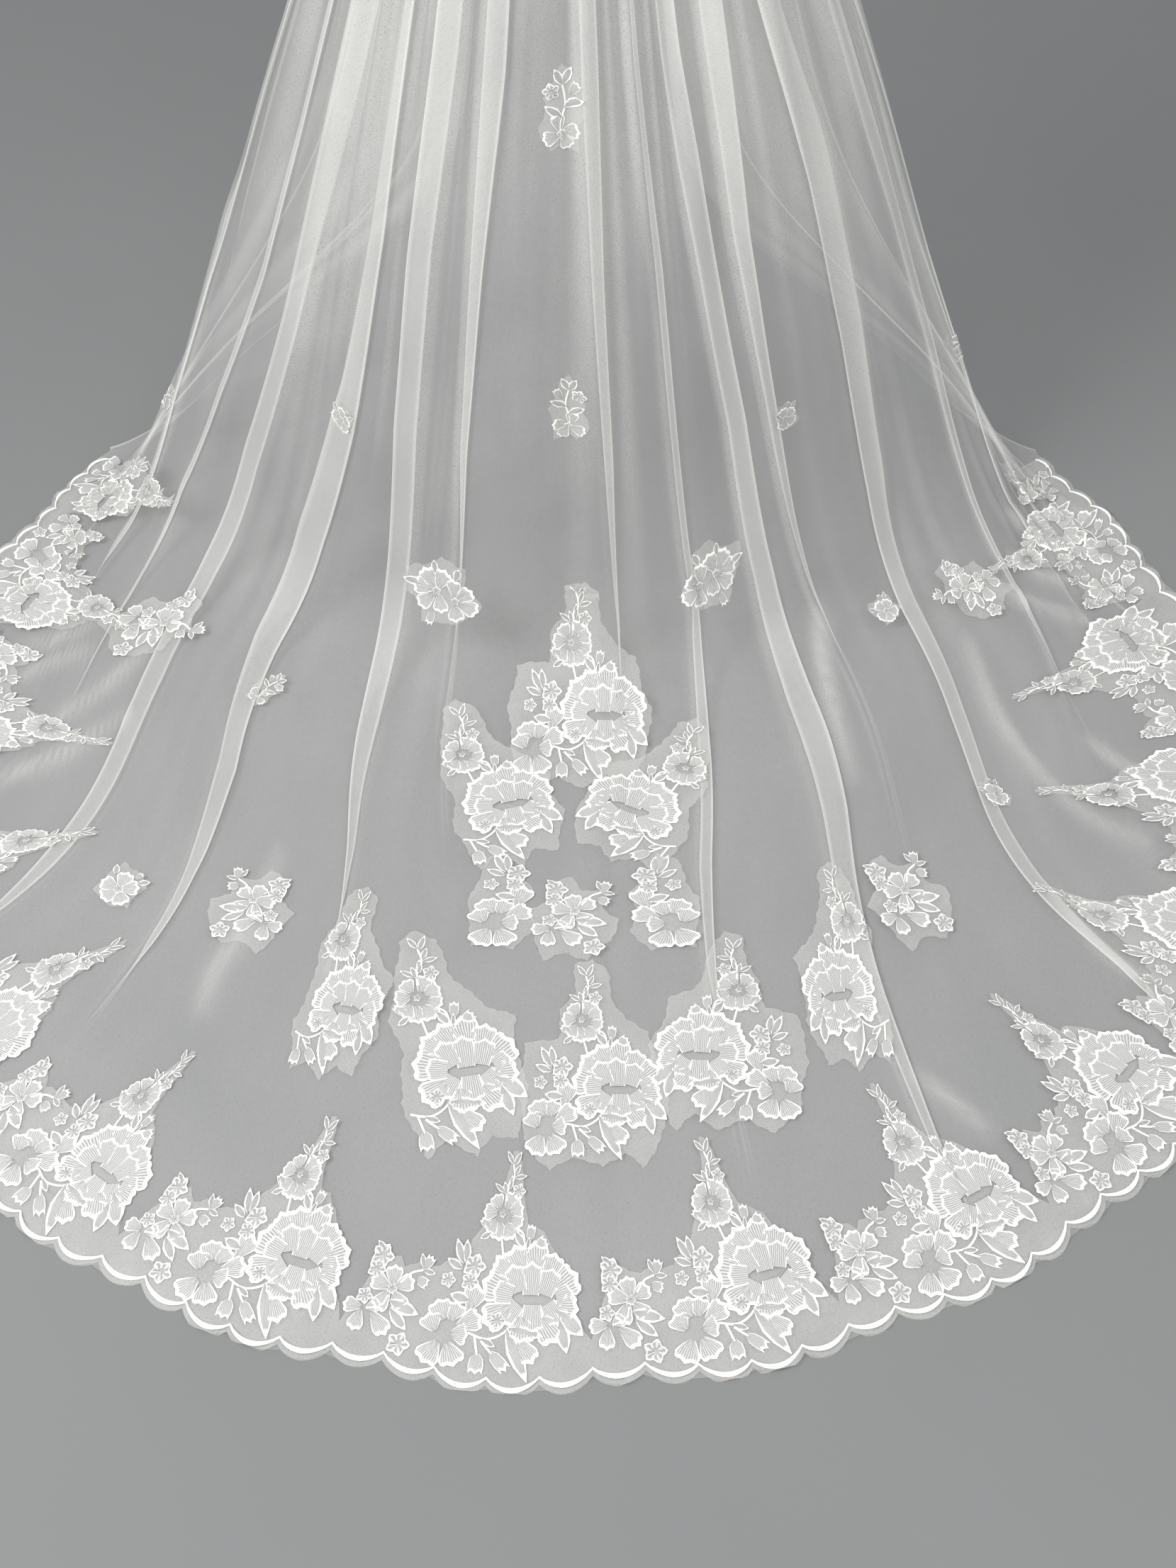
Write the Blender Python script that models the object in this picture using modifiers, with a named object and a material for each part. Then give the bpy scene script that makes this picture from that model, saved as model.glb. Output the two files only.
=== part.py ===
"""Bridal veil: one tier of tulle gathered on a comb, falling to a train with a lace hem.

Metres, +Z up. The origin is the middle of the comb. The train spreads toward -Y.
A bearing is an angle round the comb, 0 toward -Y and positive toward +X, in degrees.
A share is a place along one fall of the cloth, 0 at the comb and 1 at the hem.
"""
import math

import bmesh
import bpy
import numpy as np
from mathutils import Matrix, Vector
from mathutils.bvhtree import BVHTree

# Driving dimensions
COMB_HEIGHT = 1.600
WALL = 0.0010
SEAM_GAP = 0.0003
SLOT_GAP = 0.0008
EDGE_BEARING = 92.0
GATHERED_HALF = 0.045
GATHERED_Y = -0.0014
TOP_EDGE = 0.0010
HEADING_DEPTH = 0.010
BINDING_DEPTH = 0.0085

# The hem on the floor, seen from above: how far it reaches from the comb's foot
HEM_REACH = [
    # bearing, reach
    (-92.0, 0.727), (-84.0, 0.810), (-75.0, 0.920), (-66.0, 1.060), (-56.0, 1.200), (-42.0, 1.340),
    (-28.0, 1.440), (-12.0, 1.480), (0.0, 1.487), (14.0, 1.470), (32.0, 1.410), (45.0, 1.320),
    (56.0, 1.200), (66.0, 1.060), (75.0, 0.920), (84.0, 0.810), (92.0, 0.727)]

# Where the hanging cloth meets the floor
LANDING_REACH = [
    # bearing, reach
    (0.0, 0.430), (30.0, 0.480), (60.0, 0.640), (78.0, 0.650), (92.0, 0.575)]

# The hanging falls stand further round the comb than their ends on the floor.
# They turn toward the train between these two reaches.
TURN_SHARE = 0.68
TURN_REACH = [
    # bearing, reach where the turn starts, reach where it ends
    (0.0, 0.40, 1.00), (50.0, 0.40, 1.00), (62.0, 0.36, 0.93), (74.0, 0.30, 0.83), (92.0, 0.22, 0.70)]

# The side edges hang closer to the comb's foot than the cloth beside them
DRAW_IN = [
    # height, share drawn in
    (0.0, 0.0), (0.09, 0.09), (0.22, 0.28), (0.38, 0.49), (0.45, 0.55), (0.8, 0.50), (1.6, 0.30)]
DRAW_IN_FROM = 60.0
FALL_POWER = 1.2
PUFF = 0.038
PUFF_DEPTH = 0.05
PUFF_ENDS = 0.7
WRAP_FROM = 0.04
WRAP_FULL = 0.20
SOFTEN_REACH = 30
SOFTEN_PASSES = 3
SOFTEN_FROM = 0.05
SOFTEN_FULL = 0.25
CRISP_FROM = 55.0
CRISP_SHARE = 1.0

# Rows of the wall: the first ones by distance from the comb, the others by share
TOP_ROWS = [0.0, 0.0085, 0.030, 0.085, 0.170]
LOWER_ROWS = [0.15, 0.25, 0.35, 0.44, 0.51, 0.57, 0.62, 0.67, 0.72, 0.77, 0.82, 0.87, 0.935, 1.0]
FIRST_FOLDED_ROW = 3

# The flattened pleats: bearing and width at each share, and which side lies on top
# A pleat is folded where its width is above zero, and open cloth elsewhere
PLEAT_SHARES = (0.03, 0.14, 0.28, 0.38, 0.48, 0.58, 0.66, 0.74, 0.81, 0.87, 1.00)
PLEATS = [
    # name, top side, bearings in degrees, widths in millimetres
    ("flap_left", 1, (-58, -58, -58, -59, -60, -61, -60, -58, -58, -58, -58),
     (0, 16, 40, 44, 36, 26, 16, 14, 0, 0, 0)),
    ("rib_left", 1, (-46, -46, -46, -46, -47, -49.5, -51, -50, -50, -50, -50),
     (6, 12, 17, 14, 12, 10, 9, 8, 0, 0, 0)),
    ("outer_left", -1, (-38, -38, -38, -39, -40.5, -42.5, -42.8, -42.2, -42, -42, -42),
     (6, 14, 20, 26, 34, 42, 46, 56, 0, 0, 0)),
    ("main_left", 1, (-29, -29, -29.4, -29.2, -30.5, -32.5, -32.6, -31.2, -31, -31, -31),
     (6, 22, 56, 58, 66, 70, 68, 50, 0, 0, 0)),
    ("inner_left", -1, (-21, -21, -21.2, -22.2, -22.1, -20.8, -19.4, -18.4, -18.2, -18.2, -18.2),
     (6, 14, 29, 29, 34, 33, 28, 0, 0, 0, 0)),
    ("heart_left", 1, (-12, -12, -12.3, -13.3, -13.8, -13, -12, -10, -9, -8, -8),
     (6, 14, 26, 16, 9, 0, 0, 0, 0, 0, 0)),
    ("heart", 1, (3, 3.5, 4.1, 4.4, 5.2, 5.5, 5, 4, 3, 3, 3),
     (6, 12, 16, 12, 9, 0, 0, 0, 0, 0, 0)),
    ("inner_right", 1, (18, 18, 18.5, 20.7, 22.8, 23.4, 22.8, 23, 22.6, 22, 21.5),
     (6, 20, 48, 54, 53, 56, 58, 48, 0, 0, 0)),
    ("main_right", -1, (38, 38, 38.4, 40.2, 40.7, 39.8, 38, 37.3, 37.4, 37.8, 38.2),
     (6, 24, 72, 66, 56, 58, 44, 34, 0, 0, 0)),
    ("outer_right", 1, (50, 50, 50, 51, 53, 54, 53, 51, 50, 50, 50),
     (0, 14, 26, 26, 24, 20, 14, 10, 0, 0, 0)),
    ("flap_right", -1, (61, 61, 61, 61.5, 62, 63, 62, 60, 60, 60, 60),
     (0, 16, 40, 44, 36, 26, 16, 14, 0, 0, 0)),
]
# A pleat's rows are placed by its bearing at this one of the shares
PLEAT_ROW_PLACE = 4
PLEAT_MARGIN = 0.012
OPEN_MARGIN = 0.030
PITCH_SHARE = 0.42
FOLD_LEAST = 0.004
LAYER_HANGING = 0.0034
LAYER_LAID = 0.0028
LAYER_EASE = 0.25
MIDDLE_TILT = 0.35
DEGREES_PER_COLUMN = 5.0

# Lace hem: repeats along the hem, each a spray and a spire, over five scallops
# The left side edge cuts the first repeat at the phase
LACE_REPEATS = 15
SCALLOPS = 5
LACE_PHASE = 0.4
STATIONS_PER_SCALLOP = 3
SCALLOP_DEPTH = 0.014
NET_PAST_CORD = 0.008
LACE_EDGE_BEARING = 91.0
LACE_ROW_SHARES = (0.0, 0.5, 1.0)
LACE_DEPTH = [
    # share of the repeat, depth of the lace from its cord
    (0.00, 0.055), (0.08, 0.125), (0.20, 0.150), (0.34, 0.140), (0.44, 0.165), (0.52, 0.205),
    (0.60, 0.290), (0.66, 0.225), (0.78, 0.185), (0.90, 0.130), (1.00, 0.055)]
LACE_DEPTH_SCALE = [
    # bearing, scale
    (-92.0, 0.24), (-78.0, 0.34), (-70.0, 0.46), (-56.0, 0.72), (-46.0, 1.0), (50.0, 1.0),
    (66.0, 0.66), (78.0, 0.38), (92.0, 0.24)]

# Cut net grounds of the appliques, in shares of their width and height, foot at the hem side
GROUNDS = {
    "full": [(-0.50, -0.40), (-0.34, -0.50), (-0.05, -0.46), (0.24, -0.50), (0.44, -0.34), (0.50, -0.12),
             (0.36, 0.16), (0.10, 0.26), (0.06, 0.50), (-0.10, 0.46), (-0.16, 0.22), (-0.46, 0.04)],
    "tall": [(-0.34, -0.50), (0.02, -0.46), (0.42, -0.34), (0.50, -0.10), (0.34, 0.10), (-0.02, 0.20),
             (-0.18, 0.50), (-0.42, 0.44), (-0.46, 0.14), (-0.50, -0.16)],
    "spray": [(-0.30, -0.50), (0.10, -0.44), (0.40, -0.24), (0.50, 0.04), (0.22, 0.22), (0.06, 0.50),
              (-0.20, 0.42), (-0.28, 0.14), (-0.50, 0.06), (-0.46, -0.22)],
    "sprig": [(-0.34, -0.50), (0.16, -0.48), (0.50, -0.26), (0.44, 0.10), (0.16, 0.24), (-0.02, 0.50),
              (-0.30, 0.40), (-0.40, 0.02), (-0.50, -0.24)],
    "bloom": [(-0.44, -0.36), (0.06, -0.50), (0.50, -0.40), (0.46, 0.12), (0.18, 0.50), (-0.30, 0.42),
              (-0.50, 0.10)],
}

# The appliques: where each lies, its ground, its size in millimetres and its turn in degrees
# A negative width is the same ground turned over
APPLIQUES = [
    # number, ground, bearing, share, width, height, turn
    (1, "sprig", -1.0, 0.298, -48, 98, 0), (2, "sprig", 0.0, 0.449, 48, 88, 0),
    (3, "bloom", -31.0, 0.497, 44, 40, -10), (4, "bloom", 29.5, 0.493, 42, 42, 10),
    (5, "sprig", -66.0, 0.715, 40, 60, -10), (6, "sprig", 63.8, 0.66, 42, 62, 10),
    (7, "bloom", -15.3, 0.569, 92, 92, -30), (8, "bloom", 17.2, 0.564, -78, 96, 25),
    (9, "spray", -45.0, 0.726, 96, 138, 0), (10, "spray", 45.5, 0.70, -84, 104, 0),
    (11, "bloom", 35.2, 0.651, 40, 46, 0), (12, "sprig", -30.0, 0.683, 36, 58, 0),
    (13, "full", 1.0, 0.618, 168, 250, 0), (14, "tall", -6.3, 0.682, 130, 240, -22),
    (15, "tall", 6.6, 0.688, -136, 222, 30), (16, "sprig", -5.5, 0.753, 84, 138, -6),
    (17, "spray", 0.3, 0.762, 108, 116, 0), (18, "sprig", 7.6, 0.757, -88, 138, 8),
    (19, "tall", -16.2, 0.817, 94, 250, -8), (20, "tall", -7.8, 0.833, 138, 284, -20),
    (21, "full", 1.6, 0.841, 158, 246, 0), (22, "full", 11.3, 0.835, -168, 238, 20),
    (23, "tall", 20.2, 0.822, -94, 270, 20), (24, "bloom", -36.2, 0.849, 62, 64, -20),
    (25, "spray", -25.5, 0.804, -100, 112, -16), (26, "spray", 27.4, 0.81, 96, 134, 14),
    (27, "bloom", 38.2, 0.80, 36, 48, 20),
]
APPLIQUE_REACH = 0.024
SKIN_MARGIN = 0.12

# Comb and binding
COMB_HALF = 0.042
COMB_THICK = 0.0020
COMB_Y = 0.0004
COMB_SPINE = 0.0120
COMB_TEETH = 14
TOOTH_LENGTH = 0.040
TOOTH_SHARE = 0.52
TOOTH_TIP_SHARE = 0.5
BINDING_HALF = 0.0485
BINDING_TOP = 0.0020
BINDING_FRONT = -0.0046
BINDING_BACK = 0.0035
BINDING_BEVEL = 0.0008
SLOT_BELOW = 0.005

# Samples of the smooth cloth that every piece is read from
FALL_SAMPLES = 800
BEARING_STEP = 1.0
HANG_SAMPLES = 400
LAID_SAMPLES = 200


def ease(start, end, value):
    """Soft step from 0 at start to 1 at end."""
    share = np.clip((value - start) / (end - start), 0.0, 1.0)
    return share * share * (3.0 - 2.0 * share)


def read_table(rows, value):
    """Smooth curve through a two-column table."""
    table = np.array(rows, dtype=float)
    places, heights = table[:, 0], table[:, 1]
    slopes = np.gradient(heights, places)
    value = np.clip(np.asarray(value, dtype=float), places[0], places[-1])
    low = np.clip(np.searchsorted(places, value) - 1, 0, len(places) - 2)
    span = places[low + 1] - places[low]
    share = (value - places[low]) / span
    rest = 1.0 - share
    near = (1.0 + 2.0 * share) * rest ** 2 * heights[low] + share * rest ** 2 * span * slopes[low]
    far = share ** 2 * (3.0 - 2.0 * share) * heights[low + 1] - share ** 2 * rest * span * slopes[low + 1]
    return near + far


def soften(points):
    """Even out a line of points and keep its two ends."""
    reach = SOFTEN_REACH
    kernel = np.ones(2 * reach + 1) / (2 * reach + 1)
    for _ in range(SOFTEN_PASSES):
        before = 2.0 * points[0] - points[reach:0:-1]
        after = 2.0 * points[-1] - points[-2:-reach - 2:-1]
        padded = np.concatenate([before, points, after])
        points = np.stack([np.convolve(padded[:, axis], kernel, "valid") for axis in range(3)], axis=1)
    return points


def spaced(points, count):
    """The same line with points an equal length apart, and its length."""
    steps = np.linalg.norm(np.diff(points, axis=0), axis=1)
    along = np.concatenate([[0.0], np.cumsum(steps)])
    even = np.linspace(0.0, along[-1], count)
    return np.stack([np.interp(even, along, points[:, axis]) for axis in range(3)], axis=1), along[-1]


def fall_line(bearing):
    """One fall of the cloth from the comb to the hem, as points above the floor."""
    reach = float(read_table(HEM_REACH, bearing))
    start_x = GATHERED_HALF * bearing / EDGE_BEARING
    hem_x = reach * math.sin(math.radians(bearing))
    hem_y = reach * math.cos(math.radians(bearing))
    plan = math.degrees(math.atan2(hem_x - start_x, hem_y))
    laid = math.hypot(hem_x - start_x, hem_y)
    landing = float(read_table(LANDING_REACH, abs(bearing)))
    out = np.concatenate([np.linspace(0.0, 1.0, HANG_SAMPLES),
                          np.linspace(1.0, laid / landing, LAID_SAMPLES)[1:]])
    drop = COMB_HEIGHT - HEADING_DEPTH
    height = drop * np.clip(1.0 - out, 0.0, None) ** FALL_POWER
    bearings, starts, ends = zip(*TURN_REACH)
    start = np.interp(abs(bearing), bearings, starts)
    end = np.interp(abs(bearing), bearings, ends)
    turn = TURN_SHARE * (1.0 - ease(start, end, landing * out)) * ease(WRAP_FROM, WRAP_FULL, drop - height)
    drawn = ease(DRAW_IN_FROM, EDGE_BEARING, abs(bearing)) * read_table(DRAW_IN, height)
    puff = PUFF * (1.0 - np.exp(-(drop - height) / PUFF_DEPTH)) * ease(0.0, PUFF_ENDS, height)
    radius = landing * out * (1.0 - drawn) + puff
    angle = np.radians(plan * (1.0 + turn))
    x, y = start_x + radius * np.sin(angle), GATHERED_Y - radius * np.cos(angle)
    points = np.stack([x, y, height], axis=1)
    top = np.array([[start_x, GATHERED_Y, COMB_HEIGHT - TOP_EDGE - WALL / 2.0]])
    points, length = spaced(np.concatenate([top, points]), FALL_SAMPLES)
    depth = COMB_HEIGHT - points[:, 2:3]
    share = ease(SOFTEN_FROM, SOFTEN_FULL, depth)
    share *= 1.0 - CRISP_SHARE * ease(CRISP_FROM, EDGE_BEARING, abs(bearing))
    points = points * (1.0 - share) + soften(points) * share
    points[:, 2] = np.clip(points[:, 2], 0.0, None) + WALL / 2.0 - COMB_HEIGHT
    return points, length


BEARINGS = np.arange(-EDGE_BEARING, EDGE_BEARING + BEARING_STEP / 2.0, BEARING_STEP)
FALLS = [fall_line(bearing) for bearing in BEARINGS]
CLOTH = np.array([points for points, _ in FALLS])
LENGTHS = np.array([length for _, length in FALLS])


def cloth_point(bearing, share):
    """A point of the smooth cloth, before its pleats."""
    across = np.clip((bearing + EDGE_BEARING) / BEARING_STEP, 0.0, len(BEARINGS) - 1.000001)
    along = np.clip(share * (FALL_SAMPLES - 1), 0.0, FALL_SAMPLES - 1.000001)
    i, j = int(across), int(along)
    a, b = across - i, along - j
    near = CLOTH[i, j] * (1.0 - b) + CLOTH[i, j + 1] * b
    far = CLOTH[i + 1, j] * (1.0 - b) + CLOTH[i + 1, j + 1] * b
    return near * (1.0 - a) + far * a


def cloth_frame(bearing, share):
    """At a point of the smooth cloth: metres a degree, the way across and the way out."""
    across = cloth_point(bearing + 1.0, share) - cloth_point(bearing - 1.0, share)
    along = cloth_point(bearing, min(share + 0.01, 1.0)) - cloth_point(bearing, max(share - 0.01, 0.0))
    metres = np.linalg.norm(across) / 2.0
    if abs(bearing) > EDGE_BEARING - 1.0:
        metres *= 2.0
    outward = np.cross(across, along)
    outward = -outward / np.linalg.norm(outward)
    return metres, across / np.linalg.norm(across), outward


def fall_length(bearing):
    """Length of cloth from the comb to the hem on one bearing."""
    return float(np.interp(bearing, BEARINGS, LENGTHS))


def row_share(row, bearing):
    """Share of the fall at which a row of the wall lies on one bearing."""
    if row < len(TOP_ROWS):
        return TOP_ROWS[row] / fall_length(bearing)
    return LOWER_ROWS[row - len(TOP_ROWS)]


ROW_COUNT = len(TOP_ROWS) + len(LOWER_ROWS)


def pleat_at(pleat, share):
    """Bearing and width of one pleat at a share of the fall."""
    bearing = float(np.interp(share, PLEAT_SHARES, pleat[2]))
    width = float(np.interp(share, PLEAT_SHARES, pleat[3])) / 1000.0
    return bearing, width


def fold_state(pleat, row):
    """2 where the pleat is folded flat, 1 for an upright step on the rows next to that, 0 elsewhere."""
    def folded(place):
        if place < FIRST_FOLDED_ROW or place >= ROW_COUNT:
            return False
        return pleat_at(pleat, row_share(place, pleat[2][PLEAT_ROW_PLACE]))[1] > FOLD_LEAST
    if folded(row):
        return 2
    return int(folded(row - 1) or folded(row + 1))


def pleat_section(width, layer, half_span, state, side):
    """Across one pleat: five points, each a way along the row and a way out."""
    outs = [2.0 * layer, 2.0 * layer, (1.0 + MIDDLE_TILT) * layer, (1.0 - MIDDLE_TILT) * layer, 0.0]
    if state == 2:
        half = width / 2.0
        ways = [-half, half, half, -half, -half]
    elif state == 1:
        ways = [-2.0 * half_span / 3.0, 0.0, 0.0, 0.0, 0.0]
    else:
        ways = [half_span * place / 3.0 for place in (-2, -1, 0, 1, 2)]
        outs = [0.0] * 5
    section = list(zip(ways, outs))
    if side < 0:
        section = [(-way, out) for way, out in reversed(section)]
    return section


def gap_columns():
    """Number of plain columns in the gap before each pleat and after the last one."""
    hems = [-EDGE_BEARING] + [pleat[2][-1] for pleat in PLEATS] + [EDGE_BEARING]
    return [max(1, round((b - a) / DEGREES_PER_COLUMN) - 1) for a, b in zip(hems, hems[1:])]


def row_layout(row):
    """Columns of one row: bearing, way out, and for a folded under column its cover's place."""
    middle = [pleat_at(pleat, row_share(row, pleat[2][PLEAT_ROW_PLACE])) for pleat in PLEATS]
    bounds = [-EDGE_BEARING] + [bearing for bearing, _ in middle] + [EDGE_BEARING]
    spans = []
    for index, (bearing, width) in enumerate(middle):
        share = row_share(row, bearing)
        metres = cloth_frame(bearing, share)[0]
        room = min(bearing - bounds[index], bounds[index + 2] - bearing) * metres
        state = fold_state(PLEATS[index], row)
        margin = PLEAT_MARGIN if state else OPEN_MARGIN
        half_span = min(width / 2.0 + margin, PITCH_SHARE * room)
        width = min(width, half_span)
        spans.append((bearing, width, half_span, metres, state))
    columns = []
    previous = -EDGE_BEARING
    for index, plain in enumerate(gap_columns()):
        if index < len(PLEATS):
            bearing, width, half_span, metres, state = spans[index]
            limit = bearing - half_span / metres
        else:
            limit = EDGE_BEARING
        first = 0 if index == 0 else 1
        for place in range(first, plain + 1):
            columns.append((previous + (limit - previous) * place / (plain + 1), 0.0, False))
        if index == len(PLEATS):
            columns.append((limit, 0.0, False))
            continue
        height = cloth_point(bearing, row_share(row, bearing))[2] + COMB_HEIGHT
        layer = LAYER_LAID + (LAYER_HANGING - LAYER_LAID) * float(ease(0.0, LAYER_EASE, height))
        section = pleat_section(width, layer, half_span, state, PLEATS[index][1])
        columns.append((limit, 0.0, False))
        for place, (way, out) in enumerate(section):
            hidden = state > 0 and (place >= 2 if PLEATS[index][1] > 0 else place <= 2)
            columns.append((bearing + way / metres, out, hidden))
        previous = bearing + half_span / metres
        columns.append((previous, 0.0, False))
    return columns


def cloth_rows(covered=False):
    """Points of the wall's middle, row by row. Covered rows skip what a pleat hides."""
    rows = []
    for row in range(ROW_COUNT):
        points = []
        columns = row_layout(row)
        for bearing, out, hidden in columns:
            share = row_share(row, bearing)
            outward = cloth_frame(bearing, share)[2]
            points.append(cloth_point(bearing, share) + outward * out)
        if covered:
            points = cover_pleats(points, [hidden for _, _, hidden in columns])
        rows.append(points)
    return np.array(rows)


def cover_pleats(points, hidden):
    """Lay hidden columns evenly between the columns that show on their two sides."""
    place = 0
    while place < len(points):
        if not hidden[place]:
            place += 1
            continue
        end = place
        while hidden[end]:
            end += 1
        span = end - place + 1
        for step in range(place, end):
            share = (step - place + 1) / span
            points[step] = points[place - 1] * (1.0 - share) + points[end] * share
        place = end
    return points


def left_side_cells():
    """Columns before the first pleat. Their diagonals mirror those of the right side."""
    return list(range(gap_columns()[0] + 1))


def turned_cells():
    """Those columns, and each cell that runs back under a pleat, to follow the layer above."""
    cells = left_side_cells()
    column = 0
    for pleat, plain in zip(PLEATS, gap_columns()):
        column += plain + 1
        cells.append(column + (3 if pleat[1] > 0 else 2))
        column += 6
    return cells


def grid_mesh(name, rows, turned=(), flip=False):
    """An open surface through rows of points. Turned cells have the other diagonal."""
    height, width = rows.shape[:2]
    faces = []
    for r in range(height - 1):
        for c in range(width - 1):
            corner = r * width + c
            if c in turned:
                faces.append((corner, corner + width, corner + 1))
                faces.append((corner + 1, corner + width, corner + width + 1))
            else:
                faces.append((corner, corner + width, corner + width + 1))
                faces.append((corner, corner + width + 1, corner + 1))
    if flip:
        faces = [face[::-1] for face in faces]
    mesh = bpy.data.meshes.new(name)
    mesh.from_pydata([tuple(p) for p in rows.reshape(-1, 3)], [], faces)
    mesh.update()
    return mesh


def add_object(name, mesh, collection):
    """Put a mesh in the scene under a name."""
    thing = bpy.data.objects.new(name, mesh)
    collection.objects.link(thing)
    return thing


def add_wall(thing, thickness, offset):
    """Give an open surface its thickness."""
    solid = thing.modifiers.new("wall", "SOLIDIFY")
    solid.thickness = thickness
    solid.offset = offset
    return solid


def applied(thing, name, collection):
    """A new object from another one with its modifiers applied."""
    graph = bpy.context.evaluated_depsgraph_get()
    graph.update()
    mesh = bpy.data.meshes.new_from_object(thing.evaluated_get(graph))
    mesh.name = name
    return add_object(name, mesh, collection)


def material(name, colour, roughness, metallic=0.0):
    """A Principled material."""
    finish = bpy.data.materials.new(name)
    finish.use_nodes = True
    shader = finish.node_tree.nodes["Principled BSDF"]
    shader.inputs["Base Color"].default_value = (*colour, 1.0)
    shader.inputs["Roughness"].default_value = roughness
    shader.inputs["Metallic"].default_value = metallic
    return finish


def flat_outline(name, outline, thickness, collection):
    """A closed outline filled and given a thickness, lying in X and Y."""
    curve = bpy.data.curves.new(name, "CURVE")
    curve.dimensions = "2D"
    curve.fill_mode = "BOTH"
    curve.extrude = thickness / 2.0
    spline = curve.splines.new("POLY")
    spline.points.add(len(outline) - 1)
    for point, (x, y) in zip(spline.points, outline):
        point.co = (x, y, 0.0, 1.0)
    spline.use_cyclic_u = True
    thing = bpy.data.objects.new(name, curve)
    collection.objects.link(thing)
    return thing


def curve_to_mesh(thing, name, collection):
    """A welded mesh object in place of a curve object."""
    bpy.context.view_layer.update()
    made = applied(thing, name, collection)
    made.matrix_world = thing.matrix_world
    bpy.data.objects.remove(thing)
    weld = bmesh.new()
    weld.from_mesh(made.data)
    bmesh.ops.remove_doubles(weld, verts=weld.verts, dist=1e-6)
    bmesh.ops.recalc_face_normals(weld, faces=weld.faces)
    weld.to_mesh(made.data)
    weld.free()
    return made


def make_comb(collection, finish):
    """Flat comb: a spine and its teeth in one outline, standing in X and Z."""
    pitch = 2.0 * COMB_HALF / COMB_TEETH
    half_tooth = pitch * TOOTH_SHARE / 2.0
    outline = [(COMB_HALF, -TOP_EDGE), (-COMB_HALF, -TOP_EDGE)]
    for tooth in range(COMB_TEETH):
        middle = -COMB_HALF + pitch * (tooth + 0.5)
        outer = COMB_SPINE + TOOTH_LENGTH
        half_tip = half_tooth * TOOTH_TIP_SHARE
        outline += [(middle - half_tooth, -COMB_SPINE), (middle - half_tip, -outer),
                    (middle + half_tip, -outer), (middle + half_tooth, -COMB_SPINE)]
    outline[2] = (-COMB_HALF, -COMB_SPINE)
    outline[-1] = (COMB_HALF, -COMB_SPINE)
    curve = flat_outline("comb_outline", outline, COMB_THICK, collection)
    curve.location = (0.0, COMB_Y, 0.0)
    curve.rotation_euler = (math.pi / 2.0, 0.0, 0.0)
    comb = curve_to_mesh(curve, "comb", collection)
    comb.data.materials.append(finish)
    return comb


def make_box(name, low, high, collection):
    """A box between two corners."""
    bpy.ops.mesh.primitive_cube_add(size=1.0)
    box = bpy.context.object
    box.name = name
    for vertex in box.data.vertices:
        vertex.co = [a + (b - a) * (v + 0.5) for a, b, v in zip(low, high, vertex.co)]
    for owner in list(box.users_collection):
        owner.objects.unlink(box)
    collection.objects.link(box)
    return box


def make_binding(collection, cutters, finish):
    """Ribbon folded over the gathered edge and the comb's spine."""
    binding = make_box("heading_binding", (-BINDING_HALF, BINDING_FRONT, -BINDING_DEPTH),
                       (BINDING_HALF, BINDING_BACK, BINDING_TOP), collection)
    round_edges = binding.modifiers.new("rounded", "BEVEL")
    round_edges.width = BINDING_BEVEL
    round_edges.segments = 2
    slot_front = GATHERED_Y - WALL / 2.0 - SLOT_GAP
    slot_back = COMB_Y + COMB_THICK / 2.0 + SEAM_GAP
    slot_half = GATHERED_HALF + WALL / 2.0 + SEAM_GAP
    slot = make_box("binding_slot", (-slot_half, slot_front, -BINDING_DEPTH - SLOT_BELOW),
                    (slot_half, slot_back, -TOP_EDGE + SEAM_GAP), cutters)
    slot.hide_render = True
    slot.display_type = "WIRE"
    cut = binding.modifiers.new("slot", "BOOLEAN")
    cut.operation = "DIFFERENCE"
    cut.object = slot
    binding.data.materials.append(finish)
    return binding


def make_tulle(collection, finish):
    """The veil itself: one piece of tulle as a wall through all its rows."""
    tulle = add_object("tulle", grid_mesh("tulle", cloth_rows(), turned_cells()), collection)
    add_wall(tulle, WALL, 0.0)
    tulle.data.materials.append(finish)
    return tulle


def cloth_tree(tulle):
    """Search tree of the finished wall."""
    graph = bpy.context.evaluated_depsgraph_get()
    graph.update()
    return BVHTree.FromObject(tulle, graph)


def make_border(collection, finish, tree):
    """The lace hem: scalloped outside, with a spire in each repeat inside."""
    stations = LACE_REPEATS * SCALLOPS * STATIONS_PER_SCALLOP
    rows = [[] for _ in LACE_ROW_SHARES]
    for station in range(stations + 1):
        share = station / stations
        bearing = LACE_EDGE_BEARING * (2.0 * share - 1.0)
        repeat = (share * LACE_REPEATS + LACE_PHASE) % 1.0
        wave = abs(math.sin(math.pi * share * LACE_REPEATS * SCALLOPS))
        outer = NET_PAST_CORD + SCALLOP_DEPTH * (1.0 - wave)
        depth = float(np.interp(repeat, *zip(*LACE_DEPTH)))
        depth *= float(np.interp(bearing, *zip(*LACE_DEPTH_SCALE)))
        length = fall_length(bearing)
        for row, inward in zip(rows, LACE_ROW_SHARES):
            point = cloth_point(bearing, 1.0 - (outer + depth * inward) / length)
            hit = tree.ray_cast(Vector((point[0], point[1], point[2] + 0.05)), Vector((0.0, 0.0, -1.0)))[0]
            under = max(hit.z, WALL - COMB_HEIGHT)
            row.append(np.array([point[0], point[1], under + SEAM_GAP]))
    lace = add_object("lace_hem", grid_mesh("lace_hem", np.array(rows), flip=True), collection)
    add_wall(lace, WALL, 1.0)
    lace.data.materials.append(finish)
    return lace


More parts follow.
